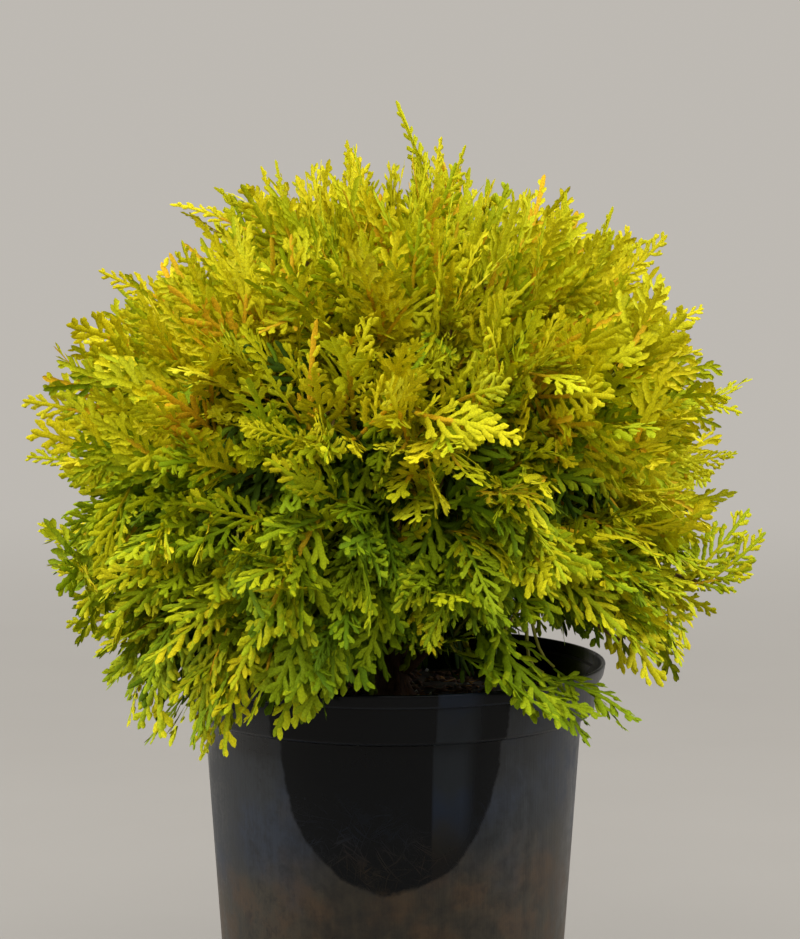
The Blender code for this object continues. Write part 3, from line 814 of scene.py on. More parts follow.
VARIANTS["deep"] = [make_spray(_vr, _vr.uniform(34.0, 46.0),
                               _vr.uniform(14.0, 18.0), _vr.uniform(3.2, 3.8),
                               "plain", width=LEAF_WIDTH * 1.25, step=3.6)
                    for _ in range(12)]


VARIANTS["shoot"] = [make_spray(_vr, _vr.uniform(40.0, 56.0),
                                _vr.uniform(7.0, 10.0), _vr.uniform(2.9, 3.4),
                                "feather", LEAF_WIDTH, angle=(32.0, 23.0))
                     for _ in range(14)]


def pick(kind, r, d=None):
    """A spray of the kind; feathered ones more on the sunny upper side."""
    if kind in ("end", "side"):
        share = 0.55 if d is None else 0.46 + 0.34 * max(-0.6, min(1.0, d[2]))
        kind += "_feather" if r.random() < share else "_finger"
    return VARIANTS[kind][int(r.integers(len(VARIANTS[kind])))]


def choose(table, x):
    """The entry of a table of (share, value) that x in 0..1 falls on."""
    total = sum(share for share, _ in table)
    x *= total
    for share, value in table:
        x -= share
        if x <= 0.0:
            return value
    return table[-1][1]


# Palettes by place. The darker, greener tones dealt to sprays deep inside, low down
# and under the front are partly the greener colour of shaded foliage and partly
# painted shade.
TOP_PALETTES = ((27, ("axis", "yellow", "yellow")),
                (12, ("yellow", "olive", "yellow")),
                (12, ("axis", "yellow", "bright")),
                (13, ("axis", "olive", "yellow")),
                (16, ("axis", "lime", "yellow")),
                (8, ("axis", "lime", "lime")),
                (8, ("axis", "axis", "yellow")),
                (4, ("orange", "yellow", "bright")))
SIDE_PALETTES = ((26, ("axis", "yellow", "yellow")),
                 (18, ("axis", "yellow", "bright")),
                 (22, ("olive", "olive", "yellow")),
                 (15, ("olive", "lime", "yellow")),
                 (11, ("olive", "lime", "lime")),
                 (5, ("axis", "axis", "yellow")),
                 (3, ("orange", "orange", "bright")))
LOW_PALETTES = ((18, ("moss", "lime", "yellow")),
                (10, ("olive", "lime", "yellow")),
                (20, ("moss", "lime", "lime")),
                (26, ("moss", "moss", "lime")),
                (24, ("green", "moss", "lime")),
                (2, ("orange", "yellow", "yellow")))
HALF_PALETTES = ((20, ("axis", "olive", "olive")),
                 (25, ("olive", "moss", "lime")),
                 (25, ("moss", "moss", "moss")),
                 (30, ("green", "green", "moss")))
MILD_PALETTES = ((52, ("yellow", "yellow", "yellow")),
                 (30, ("olive", "yellow", "yellow")),
                 (10, ("olive", "lime", "yellow")),
                 (8, ("moss", "lime", "olive")))
SHADE_PALETTES = ((16, ("moss", "moss", "lime")),
                  (34, ("green", "moss", "moss")),
                  (32, ("green", "green", "moss")),
                  (18, ("green", "green", "green")))
DEEP_PALETTES = ((30, ("green", "green", "green")),
                 (40, ("deep", "green", "green")),
                 (30, ("deep", "deep", "green")))


def palette_for(d, r, depth, bias=None):
    """Tones (axis, body, ends) of a spray by where it grows; depth 0 is the
    outside of the crown and 1 deep inside."""
    x = r.random() if bias is None else (bias + r.normal(0.0, 0.16)) % 1.0
    # painted shade: sprays deep inside and low down get darker, greener tones, less so
    # on the right
    low = max(0.0, min(1.0, -d[2] * 2.2)) * (1.0 - 0.45 * max(0.0, d[0]))
    sunny = r.random() < (d[2] + 0.05) * 2.4
    if depth > 0.72 - 0.30 * low:
        return choose(MILD_PALETTES if sunny else DEEP_PALETTES, r.random())
    if depth > 0.40 - 0.28 * low and not sunny:
        return choose(HALF_PALETTES, r.random())
    el = math.degrees(math.asin(max(-1.0, min(1.0, d[2])))) + r.normal(0, 5)
    # painted light: on the right sprays count as higher up and get the lighter tones
    # of the top
    el += 22.0 * max(0.0, d[0])
    # painted shade: under the front of the crown sprays take the dark shade tones
    if (x * 37.7) % 1.0 < 0.85 * shaded(d):
        return choose(SHADE_PALETTES, (x * 11.3) % 1.0)
    if el > 34:
        return choose(TOP_PALETTES, x)
    if el > -4:
        return choose(SIDE_PALETTES, x)
    return choose(LOW_PALETTES, x)


def style_for(d, r):
    """0 or 1: the flat side faces out and up; 2: it faces along the crown's
    side, as fans at the left and right of the plant do."""
    side = abs(d[0]) / max(1e-6, math.hypot(d[0], d[1]))
    share = 0.16 + 0.46 * side ** 2
    if d[2] < -0.1:
        share *= 0.7
    x = r.random()
    return 2 if x < share else (0 if x < share + 0.5 * (1 - share) else 1)


def facing(d, r, style, jitter=0.22):
    """Which way the flat side of a spray looks: outwards, upwards or along
    the crown's side."""
    up = np.array([0.0, 0.0, 1.0])
    out = np.array([d[0], d[1], 0.0])
    if np.linalg.norm(out) < 0.2:
        out = out + np.array([0.0, -0.4, 0.0])
    out = unit(out)
    if style == 0:
        base = out + up * 0.35
    elif style == 1:
        base = up + out * 0.35
    else:
        base = np.cross(up, out) * (1 if r.random() < 0.5 else -1)
    return base + r.normal(0.0, jitter, 3)


def fan(d, mid, r):
    """Sideways lean of a spray away from the middle of its branch."""
    off = d - mid
    off = off - d * np.dot(off, d)
    size = float(np.linalg.norm(off))
    if size < 0.03:
        off = rotate_about(any_side(d), d, r.uniform(0.0, 2.0 * math.pi))
        size = 1.0
    off = off / size
    if d[2] > -0.20:
        off[2] = max(off[2], 0.0) + 0.20
    level = max(0.0, 1.0 - abs(d[2]) * 1.3)
    flat = 1.0 if r.random() < FLAT_SHARE else 0.18
    return off * flat * (0.25 + 0.75 * level)


def heading(d, r, spread=0.09, group=None):
    """The way a spray points at crown direction d."""
    up = np.array([0.0, 0.0, 1.0])
    el = d[2]
    if el > 0.2:
        u = d + up * 0.38
    elif el > -0.15:
        u = d + up * 0.14
    else:
        u = d + up * (0.16 + 0.10 * (el + 0.15))
    if group is not None:
        u = u + group
    return unit(u + r.normal(0.0, spread, 3))


TWIGS = Bucket()
STEMS = Bucket()
BRANCHES = Bucket()

# Centre lines of the limbs that later growth can leave from.
LIMBS = {"p": [], "t": []}
CARRIED = {"n": 0, "worst": 0.0}


def add_limb(line):
    line = np.asarray(line, float)
    LIMBS["p"].append(line)
    LIMBS["t"].append(unit(np.gradient(line, axis=0)))


for _name in sorted(BOUGHS):
    add_limb(BOUGHS[_name]["line"][8:])


def attach(foot, r):
    """The place on a limb that a twig to foot grows from, and the way the
    limb runs there: near, further in than the foot and pointing to it."""
    p, t = np.vstack(LIMBS["p"]), np.vstack(LIMBS["t"])
    gap = foot - p
    dist = np.linalg.norm(gap, axis=1)
    along = np.einsum("ij,ij->i", unit(gap), t)
    deep = np.linalg.norm(p - CROWN, axis=1)
    cost = dist * (1.40 - 0.40 * along) + r.uniform(0.0, 5.0, len(dist))
    cost = cost + np.where(deep > np.linalg.norm(foot - CROWN) - 3.0, 50.0, 0.0)
    cost = cost + np.where(dist < 7.0, 30.0, 0.0)
    i = int(np.argmin(cost))
    return p[i].copy(), t[i].copy()


def carried(start):
    """Notes how far a twig's start is from the nearest limb's centre line."""
    best = min(float(np.linalg.norm(line - start, axis=1).min())
               for line in LIMBS["p"])
    CARRIED["n"] += 1
    CARRIED["worst"] = max(CARRIED["worst"], best)


def run_clear(start, leave, foot, u, n=8):
    """A curve from a limb to a spray's foot that passes over the pot's rim."""
    gap = float(np.linalg.norm(foot - start))
    for lift in (0.0, 6.0, 12.0, 20.0, 30.0):
        up = np.array([0.0, 0.0, lift])
        line = bezier(start, start + unit(leave) * gap * 0.35 + up,
                      foot - u * gap * 0.38 + up, foot, np.linspace(0, 1, n))
        if hits_pot(line) == 0.0:
            break
    return line


def add_tube(bucket, pts, r0, r1, sides=4):
    radii = np.linspace(r0, r1, len(pts))
    v, n, f = tube(pts, radii, sides)
    bucket.add(v, n, f)


def add_twig(line, r0, r1):
    """A twig: bark near the limb, green and scaly from there on."""
    carried(line[0])
    k = max(2, int(len(line) * 0.38))
    mid = r0 + (r1 - r0) * k / (len(line) - 1.0)
    add_tube(TWIGS, line[:k + 1], r0, mid, 4)
    add_tube(STEMS, line[k:], mid, r1, 4)


def low_limit(az):
    """Lowest height of the crown's skirt by azimuth in degrees."""
    az = az % 360.0
    pts = ((0, 176), (60, 172), (100, 170), (150, 168), (185, 164), (215, 160),
           (245, 164), (270, 172), (300, 178), (335, 178), (360, 176))
    return float(np.interp(az, [p[0] for p in pts], [p[1] for p in pts]))


def crown_targets(r):
    """Tips spread evenly over the crown's outline, less the pot's side."""
    golden = math.pi * (3.0 - math.sqrt(5.0))
    out = []
    n = int(TIP_COUNT / 0.80)
    for i in range(n):
        z = 1.0 - 2.0 * (i + 0.5) / n
        if z < -0.74:
            continue
        a = golden * i
        s = math.sqrt(1.0 - z * z)
        d = unit(np.array([s * math.cos(a), s * math.sin(a), z])
                 + r.normal(0.0, 0.040, 3))
        reach = float(crown_reach(d)[0])
        p = CROWN + d * reach
        az = math.degrees(math.atan2(p[1], p[0]))
        if p[2] < low_limit(az):
            continue
        if p[2] < 180.0 and math.hypot(p[0], p[1]) < 90.0:
            continue
        if p[2] < 200.0 and r.random() < 0.60:
            continue
        out.append(d)
    return out


def owner(p):
    return min(BOUGHS, key=lambda b: np.linalg.norm(BOUGHS[b]["centre"] - p))


def group(dirs, count, r):
    """Splits directions into near groups."""
    dirs = np.asarray(dirs)
    centres = dirs[r.choice(len(dirs), size=count, replace=False)]
    for _ in range(8):
        lab = np.argmax(dirs @ centres.T, axis=1)
        for c in range(count):
            if (lab == c).any():
                centres[c] = unit(dirs[lab == c].mean(0))
    return lab, centres


def grow_twig(start, leave, tip, d, kind, r, droop, scale=1.0, head=None,
              sides=TWIG_SPRAYS, palette=None, face=None, bias=None,
              style=0, lean=None, free=False):
    """One twig from a branch to a tip, with an end spray and side sprays."""
    u = heading(d, r, group=lean) if head is None else unit(head)
    var = pick(kind, r, d)
    pal = palette or palette_for(d, r, 0.0, bias)
    fc = facing(d, r, style) if face is None else face
    k = scale * r.uniform(0.90, 1.06)
    foot = place_spray(var, None, u, fc, droop, r, pal, k, tip_at=tip,
                       free=free)
    if foot is None:
        u = unit(u + np.array([d[0], d[1], 0.35]) * 0.8)
        foot = place_spray(var, None, u, fc, droop * 0.4, r, pal, k * 0.8,
                           tip_at=tip, free=free)
    if foot is None:
        return None
    line = run_clear(start, leave, foot, u)
    add_twig(line, 0.85, 0.58)
    nrm = unit(fc - u * np.dot(fc, u))
    for j in range(sides):
        t = 0.34 + 0.66 * (j + r.uniform(0.15, 0.85)) / sides
        i = t * 7.0
        a = int(min(6, math.floor(i)))
        p = line[a] + (line[a + 1] - line[a]) * (i - a)
        tan = unit(line[a + 1] - line[a])
        sgn = 1 if j % 2 == 0 else -1
        ax = unit(nrm + r.normal(0.0, 0.28, 3))
        uu = rotate_about(tan, ax, sgn * math.radians(r.uniform(18, 40)))
        side_var = pick("side", r, d)
        sc = scale * r.uniform(0.85, 1.12)
        end = p + uu * side_var["length"] * sc
        dd = unit(end - CROWN)
        reach = float(crown_reach(dd)[0])
        dist = np.linalg.norm(end - CROWN)
        if dist > reach * 0.98:
            uu = unit(uu - dd * 0.22)
            sc *= max(0.62, min(1.0, reach * 0.98 / dist))
            end = p + uu * side_var["length"] * sc
        if end[2] < 171.0 and math.hypot(end[0], end[1]) < 90.0:
            uu = unit(uu + np.array([0.0, 0.0, 0.8]))
        depth = 1.0 - (dist / reach - 0.62) / 0.34
        depth = max(0.0, min(1.0, depth)) * r.uniform(0.6, 1.1)
        fs = fc if r.random() < 0.65 else facing(dd, r, style_for(dd, r))
        place_spray(side_var, p, uu, fs, droop * 0.9, r,
                    palette_for(dd, r, depth, bias), sc, free=free)
    return foot


def grow_crown():
    r = np.random.default_rng(SEED + 3)
    seed = 0
    cells = {}
    for d in crown_targets(r):
        p = CROWN + d * float(crown_reach(d)[0]) * 0.8
        cells.setdefault(owner(p), []).append(d)
    for name in sorted(cells):
        bough = BOUGHS[name]
        tips = cells[name]
        line = bough["line"]
        count = max(1, int(round(len(tips) / TIPS_PER_BRANCH)))
        lab, _ = group(tips, count, np.random.default_rng((SEED + 2, len(tips))))
        for c in range(count):
            mine = [tips[i] for i in range(len(tips)) if lab[i] == c]
            if not mine:
                continue
            seed += 1
            r = np.random.default_rng((SEED + 3, seed))
            mid = unit(np.mean(mine, axis=0))
            spread = max(0.10, float(np.mean([math.acos(
                max(-1.0, min(1.0, float(np.dot(mid, m))))) for m in mine])))
            reach = float(crown_reach(mid)[0])
            bias = r.random()
            style = style_for(mid, r)
            lean = r.normal(0.0, 0.15, 3)
            full = r.uniform(0.915, 0.985)
            aim = CROWN + mid * reach * 0.58
            k0 = int(r.uniform(0.55, 1.0) * (len(line) - 1))
            s0 = line[k0]
            t0 = unit(line[min(len(line) - 1, k0 + 1)] - line[k0 - 1])
            gap = np.linalg.norm(aim - s0)
            br = bezier(s0, s0 + t0 * gap * 0.38,
                        aim - unit(mid + np.array([0, 0, 0.25])) * gap * 0.30,
                        aim, np.linspace(0, 1, 12))
            add_tube(BRANCHES, br, 1.40, 0.85, 6)
            add_limb(br[2:])
            for m in mine:
                off = math.acos(max(-1.0, min(1.0, float(np.dot(mid, m)))))
                fall = 0.055 * min(1.8, (off / spread)) ** 2
                far = min(1.0, full + r.normal(0.0, 0.022))
                if m[0] > 0.70 and -0.50 < m[2] < 0.10:
                    far -= abs(r.normal(0.0, 0.055))
                p = CROWN + m * float(crown_reach(m)[0]) * far * (
                    1.0 - fall * r.uniform(0.4, 1.0))
                k1 = int(r.uniform(0.40, 1.0) * 10.99)
                start = br[k1]
                leave = unit(unit(br[k1 + 1] - br[k1]) + unit(p - start) * 0.7)
                el = m[2]
                droop = (0.08 if el > 0.35 else 0.20 if el > -0.1 else 0.50)
                droop *= r.uniform(0.5, 1.6)
                size = 1.0 if el > 0.15 else (0.92 if el > -0.2 else 0.80)
                st = style if r.random() < 0.7 else style_for(m, r)
                kind = "shoot" if el > 0.42 and r.random() < 0.45 else "end"
                grow_twig(start, leave, p, m, kind, r, droop, bias=bias,
                          style=st, lean=lean + fan(m, mid, r) * FAN,
                          scale=size)
            # painted shade: inner sprays take the crown's inside tones, dark except
            # towards the top
            for _ in range(INNER_SPRAYS):
                k1 = int(r.uniform(0.25, 0.98) * 10.99)
                start = br[k1]
                tan = unit(br[k1 + 1] - br[k1])
                ax = unit(np.cross(tan, r.normal(0.0, 1.0, 3)))
                uu = rotate_about(tan, ax, math.radians(r.uniform(28, 66)))
                dd = unit(start + uu * 15.0 - CROWN)
                place_spray(pick("deep", r), start, uu,
                            facing(dd, r, style_for(dd, r), 0.5),
                            0.4, r, palette_for(dd, r, 0.9),
                            r.uniform(0.85, 1.10),
                            limit=0.80 if dd[2] > -0.1 else 0.86)


def grow_strays():
    r = np.random.default_rng(SEED + 4)
    for tip, head, length in STRAYS:
        tip = np.array(tip, float) - np.array([0.0, 0.0, 2.0])
        d = unit(tip - CROWN)
        start, leave = attach(tip - unit(head) * length, r)
        pal = choose(((40, ("axis", "yellow", "bright")),
                      (40, ("axis", "yellow", "yellow")),
                      (20, ("olive", "yellow", "yellow"))), r.random())
        face = np.array([0.0, -1.0, 0.25]) + r.normal(0.0, 0.25, 3)
        kind = "shoot" if tip[2] > 340.0 else "end"
        grow_twig(start, leave, tip, d, kind, r, 0.05, scale=length / 50.0,
                  head=head, sides=0, palette=pal, face=face, style=2)
        if kind == "shoot":
            u = unit(head)
            grow_twig(start, leave, tip - u * 5.0, d, kind, r, 0.05,
                      scale=length / 56.0, head=u + r.normal(0.0, 0.05, 3),
                      sides=0, palette=pal, face=np.cross(u, face), style=2)


# A spray that leans out on the right, apart from the rest: where it leaves
# the crown, and its prongs.
OUTLIER_FOOT = (114.0, -12.0, 202.0)
OUTLIER = (((140.0, -10.0, 230.0), (0.62, 0.0, 0.85), 34),
           ((147.0, -9.0, 220.0), (0.85, 0.0, 0.55), 33),
           ((141.5, -12.0, 206.0), (0.97, 0.0, 0.22), 27),
           ((132.0, -14.0, 197.0), (0.90, -0.1, -0.35), 22))


def grow_outlier():
    r = np.random.default_rng(SEED + 9)
    foot = np.array(OUTLIER_FOOT)
    d = unit(foot - CROWN)
    start, leave = attach(foot, r)
    line = run_clear(start, leave, foot, unit(np.array([1.0, 0.0, 0.15])))
    carried(start)
    add_tube(TWIGS, line, 1.0, 0.8, 5)
    add_limb(line[2:])
    for tip, head, length in OUTLIER:
        tip, u = np.array(tip), unit(head)
        face = np.array([0.0, -1.0, 0.3]) + r.normal(0.0, 0.2, 3)
        end = place_spray(pick("end_finger", r), None, u, face, 0.0, r,
                          ("olive", "lime", "yellow") if r.random() < 0.6
                          else ("axis", "lime", "yellow"),
                          length / 50.0, tip_at=tip)
        link = bezier(foot, foot + (end - foot) * 0.4 + np.array([2, 0, 0]),
                      end - u * 3.0, end, np.linspace(0, 1, 5))
        add_twig(link, 0.75, 0.6)


HEM_PALETTES = ((14, ("axis", "olive", "yellow")),
                (16, ("axis", "lime", "olive")),
                (14, ("olive", "lime", "yellow")),
                (24, ("olive", "moss", "lime")),
                (20, ("moss", "moss", "lime")),
                (18, ("green", "moss", "moss")))


def hem_at(az):
    """Distance from the axis and height of the hem at an azimuth."""
    az = (az + 180.0) % 360.0 - 180.0
    return (float(np.interp(az, [h[0] for h in HEM], [h[1] for h in HEM])),
            float(np.interp(az, [h[0] for h in HEM], [h[2] for h in HEM])))


def grow_hem():
    """Branches that arch outwards from the limbs and droop, and the twigs
    that hang from them in layers down to the hem."""
    r = np.random.default_rng(SEED + 15)
    for i in range(HEM_BRANCHES):
        az = i * 137.508 + r.normal(0.0, 3.0)
        rad, low = hem_at(az)
        a = math.radians(az)
        way = np.array([math.cos(a), math.sin(a), 0.0])
        end = way * rad * r.uniform(0.80, 0.92)
        end[2] = low + r.uniform(32.0, 50.0)
        knee = way * rad * r.uniform(0.50, 0.62)
        knee[2] = end[2] + r.uniform(8.0, 20.0)
        start, leave = attach(knee, r)
        gap = float(np.linalg.norm(end - start))
        line = bezier(start, start + leave * gap * 0.35, knee, end,
                      np.linspace(0, 1, 12))
        if hits_pot(line) > 0.0:
            continue
        carried(start)
        add_tube(BRANCHES, line, 1.25, 0.75, 5)
        add_limb(line[3:])
    tips = [(i * 137.508, ((i * 0.7548777) % 1.0) ** 1.55)
            for i in range(HEM_TIPS)]
    tips += [(LOBE[0] + LOBE[1] * (2.0 * k / (LOBE_TIPS - 1.0) - 1.0),
              0.13 * ((k * 0.6180340) % 1.0)) for k in range(LOBE_TIPS)]
    tips += [(FILL[0] + FILL[1] * (k - (FILL[2] - 1) / 2.0), 0.04 * k)
             for k in range(FILL[2])]
    for i, (az, layer) in enumerate(tips):
        r = np.random.default_rng((SEED + 15, i))
        az += r.normal(0.0, 4.0 if i < HEM_TIPS else 0.8)
        rad, low = hem_at(az)
        a = math.radians(az + r.normal(0.0, 3.0 if i < HEM_TIPS else 0.8))
        way = np.array([math.cos(a), math.sin(a), 0.0])
        side = unit(way * 0.97 + np.array([0.0, 0.0, -0.25]))
        full = float(crown_reach(side)[0]) * r.uniform(0.88, 0.99)
        tip = way * (rad + (full - rad) * layer ** 0.75)
        tip[2] = low + (222.0 - low) * layer + r.normal(0.0, 4.0)
        dip = math.radians(58.0 - 46.0 * layer + r.normal(0.0, 12.0))
        turn = a + r.normal(0.0, 0.38)
        off = (math.degrees(a) - LOBE[0] + 180.0) % 360.0 - 180.0
        leaning = abs(off) < LOBE[1] and layer < 0.16
        if leaning:
            steep = i % 2
            dip = math.radians(LOBE[3] + 26.0 * steep + r.normal(0.0, 7.0))
            turn = a + math.radians(LOBE[2] - 18.0 * steep
                                    + r.normal(0.0, 9.0))
        u = np.array([math.cos(turn) * math.cos(dip),
                      math.sin(turn) * math.cos(dip), -math.sin(dip)])
        d = unit(tip - CROWN)
        size = r.uniform(0.78, 1.04) + 0.10 * (1.0 - layer)
        if leaning:
            size *= 1.12
        start, leave = attach(tip - u * 50.0 * size, r)
        face = way + np.array([0.0, 0.0, 0.35]) + r.normal(0.0, 0.24, 3)
        # painted shade: tips further in, those that lean out at the front right and
        # those on the left get darker, greener tones, and under the front the shade
        # tones; painted light: on the right they get lighter ones
        tip_rad = math.hypot(tip[0], tip[1])
        shade = max(0.0, min(1.0, (118.0 - tip_rad) / 22.0))
        shade *= 0.30 + 0.70 * layer ** 0.4
        x = r.random() * (1.0 - 0.55 * layer * (1.0 - shade))
        x = min(0.999, x + 0.85 * shade * r.uniform(0.5, 1.2))
        x *= 1.0 - 0.40 * max(0.0, d[0])
        x = min(0.999, x + (0.34 if leaning else 0.10 if d[0] < 0.0 else 0.0))
        if i >= HEM_TIPS + LOBE_TIPS:
            x *= 0.4
        pal = choose(HEM_PALETTES, x)
        if r.random() < 0.9 * shaded(d) and not leaning:
            pal = choose(SHADE_PALETTES, r.random())
        grow_twig(start, leave, tip, d, "end", r, 0.15, scale=size, head=u,
                  sides=2 if leaning or layer >= 0.40 else 1,
                  palette=pal, face=face, free=leaning)


def grow_curtain():
    """Dark wisps, in tones of painted shade, that hang from the lower limbs,
    over the soil and the rim.
    """
    r = np.random.default_rng(SEED + 16)
    p = np.vstack(LIMBS["p"])
    p = p[(p[:, 2] < 226.0) & (p[:, 2] > 186.0)
          & (np.hypot(p[:, 0], p[:, 1]) < 92.0)]
    front = p[(p[:, 1] < -22.0) & (p[:, 2] < 212.0) & (np.abs(p[:, 0]) < 60.0)]
    for i in range(430):
        near = i >= 290
        if near:
            foot = front[int(r.integers(len(front)))]
        else:
            foot = p[int(r.integers(len(p)))]
        az = math.atan2(foot[1], foot[0])
        u = np.array([math.cos(az) * r.uniform(0.0, 0.6),
                      math.sin(az) * r.uniform(0.0, 0.6), -1.0])
        u = unit(u + r.normal(0.0, 0.24, 3))
        dd = unit(np.array([foot[0], foot[1], -60.0]))
        pal = choose(((44 if near else 24, ("green", "moss", "moss")),
                      (40, ("green", "green", "green")),
                      (16 if near else 36, ("deep", "deep", "green"))),
                     r.random())
        scale = r.uniform(0.90, 1.30)
        for _ in range(3):
            if place_spray(pick("wisp", r), foot, u, facing(dd, r, 0, 0.8),
                           0.2, r, pal, scale) is not None:
                break
            scale *= 0.8


def grow_underside():
    """Sprays that hang from the lower boughs over the soil, in the dark tones
    of painted shade.
    """
    r = np.random.default_rng(SEED + 12)
    for name in sorted(BOUGHS):
        if not name.startswith("bough_lower") and not name.startswith(
                "bough_middle"):
            continue
        line = BOUGHS[name]["line"]
        low = name.startswith("bough_lower")
        for _ in range(9 if low else 6):
            i = int(r.uniform(0.25, 0.98) * (len(line) - 1))
            p = line[i]
            tan = unit(line[min(len(line) - 1, i + 1)] - line[i - 1])
            u = unit(tan * r.uniform(0.3, 1.0) + np.array([0, 0, -1.0])
                     * r.uniform(0.4, 1.1) + r.normal(0.0, 0.35, 3))
            dd = unit(np.array([p[0], p[1], -40.0]))
            kind = "side" if r.random() < 0.5 else "deep"
            place_spray(pick(kind, r, dd), p, u,
                        facing(dd, r, style_for(dd, r), 0.4), 0.5, r,
                        palette_for(dd, r, 0.8 if r.random() < 0.7 else 0.2),
                        r.uniform(0.6, 0.95), limit=0.92)


grow_crown()
grow_strays()
grow_outlier()
grow_hem()
grow_underside()
grow_curtain()


# ------------------------------------------------------------ leaf pieces
LEAF_MATS = {t: leaf_material("leaf_" + t, c) for t, c in TONES.items()}
FOLIAGE_NODES = sorted(n for n in NODES if n.startswith("foliage_"))
TOTAL = 0
for (tone, part), b in sorted(BUCKETS.items()):
    name = "leaves_" + tone + ("_%d" % (part + 1) if part else "")
    ob = make_mesh(name, np.vstack(b.v), np.vstack(b.f), np.vstack(b.n),
                   strip=np.vstack(b.uv))
    ob.data.materials.append(LEAF_MATS[tone])
    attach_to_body(ob, "root")
    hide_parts(*FOLIAGE_NODES)
    TOTAL += b.nf
    print("piece", name, b.nf)
print("twigs", CARRIED["n"], "furthest start from a limb, mm",
      round(CARRIED["worst"], 4))
print("sprays", SPRAY_COUNT["n"], "leaf triangles", TOTAL,
      {k: int(np.mean([w["tris"] for w in v])) for k, v in VARIANTS.items()})


# ------------------------------------------------------------ twigs, bark
def bark_material(name, light, dark, scale=1.0, rough=0.86):
    """Thin stringy bark: long strips, fine cracks, paler ridges."""
    mat, nt, bsdf = new_material(name)
    tc = nt.nodes.new("ShaderNodeTexCoord")
    mp = nt.nodes.new("ShaderNodeMapping")
    mp.inputs["Scale"].default_value = (900 * scale, 900 * scale, 110 * scale)
    nt.links.new(tc.outputs["Object"], mp.inputs["Vector"])
    strip = nt.nodes.new("ShaderNodeTexNoise")
    strip.inputs["Scale"].default_value = 1.0
    strip.inputs["Detail"].default_value = 5.0
    strip.inputs["Roughness"].default_value = 0.6
    nt.links.new(mp.outputs["Vector"], strip.inputs["Vector"])
    patch = nt.nodes.new("ShaderNodeTexNoise")
    patch.inputs["Scale"].default_value = 140.0
    nt.links.new(tc.outputs["Object"], patch.inputs["Vector"])
    ramp = nt.nodes.new("ShaderNodeValToRGB")
    ramp.color_ramp.elements[0].position = 0.32
    ramp.color_ramp.elements[0].color = (*dark, 1)
    ramp.color_ramp.elements[1].position = 0.68
    ramp.color_ramp.elements[1].color = (*light, 1)
    nt.links.new(strip.outputs["Fac"], ramp.inputs["Fac"])
    mix = nt.nodes.new("ShaderNodeMix")
    mix.data_type = "RGBA"
    mix.blend_type = "MULTIPLY"
    nt.links.new(patch.outputs["Fac"], mix.inputs["Factor"])
    nt.links.new(ramp.outputs["Color"], mix.inputs["A"])
    mix.inputs["B"].default_value = (0.72, 0.66, 0.60, 1)
    nt.links.new(mix.outputs["Result"], bsdf.inputs["Base Color"])
    bump = nt.nodes.new("ShaderNodeBump")
    bump.inputs["Strength"].default_value = 0.7
    bump.inputs["Distance"].default_value = 0.0006
    nt.links.new(strip.outputs["Fac"], bump.inputs["Height"])
    nt.links.new(bump.outputs["Normal"], bsdf.inputs["Normal"])
    bsdf.inputs["Roughness"].default_value = rough
    return mat


BARK = bark_material("bark_trunk", (0.230, 0.115, 0.058), (0.060, 0.028, 0.015))
BOUGH_BARK = bark_material("bark_bough", (0.26, 0.135, 0.040),
                           (0.100, 0.050, 0.018), 1.3, 0.8)
TWIG_BARK = bark_material("bark_twig", (0.30, 0.190, 0.030),
                          (0.150, 0.090, 0.016), 2.0, 0.7)
STEM_SKIN = bark_material("stem_green", (0.40, 0.390, 0.012),
                          (0.220, 0.235, 0.008), 2.4, 0.6)


def relief(line, sides, amount, seed):
    """Long ridges and flakes of bark as radius changes."""
    k = len(line)
    out = np.zeros((k, sides))
    d = np.concatenate([[0], np.cumsum(np.linalg.norm(np.diff(line, axis=0), axis=1))])
    for i in range(k):
        for j in range(sides):
            a = 2 * math.pi * j / sides
            p = Vector((math.cos(a) * 2.6, math.sin(a) * 2.6,
                        d[i] * 0.055 + seed))
            q = Vector((math.cos(a) * 6.0, math.sin(a) * 6.0,
                        d[i] * 0.16 + seed * 2.0))
            out[i, j] = amount * (0.65 * noise.noise(p) + 0.35 * noise.noise(q))
    return out


def build_trunk():
    ts = np.linspace(0.0, 1.0, 90)
    line = np.array([trunk_point(t) for t in ts])
    rad = np.array([trunk_radius(t) for t in ts])
    sides = 28
    rip = relief(line, sides, 0.30, 3.0)
    # buttresses where the roots leave
    for i, t in enumerate(ts):
        fade = math.exp(-t * 20.0)
        for j in range(sides):
            a = 2 * math.pi * j / sides
            rip[i, j] += 0.16 * fade * math.sin(a * 4.0 + 0.8)
    v, n, f = tube(line, rad, sides, rip)
    ob = make_mesh("trunk_bark_mesh", v, f)
    ob.data.materials.append(BARK)
    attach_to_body(ob, "root")
    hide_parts("trunk")


def build_boughs():
    b = Bucket()
    names = []
    seed = 10.0
    for name in sorted(BOUGHS):
        if name == "trunk":
            continue
        bough = BOUGHS[name]
        line = bough["line"]
        inward = np.array([trunk_point((line[0][2] - SOIL_TOP)
                                       / (TRUNK_TIP_Z - SOIL_TOP))])[0]
        foot = line[0] + (inward - line[0]) * 0.75
        foot[2] = line[0][2] - 1.5
        full = smooth_line(np.vstack([foot, line[::4]]), 44)
        r0, r1 = bough["radii"][0], bough["radii"][-1]
        rad = np.linspace(r0, max(1.15, r1), 44)
        rip = relief(full, 14, 0.22, seed)
        v, n, f = tube(full, rad, 14, rip)
        b.add(v, n, f)
        names.append(name)
        seed += 7.7
    ob = make_mesh("boughs_bark_mesh", np.vstack(b.v), np.vstack(b.f))
    ob.data.materials.append(BOUGH_BARK)
    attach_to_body(ob, "root")
    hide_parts(*names)


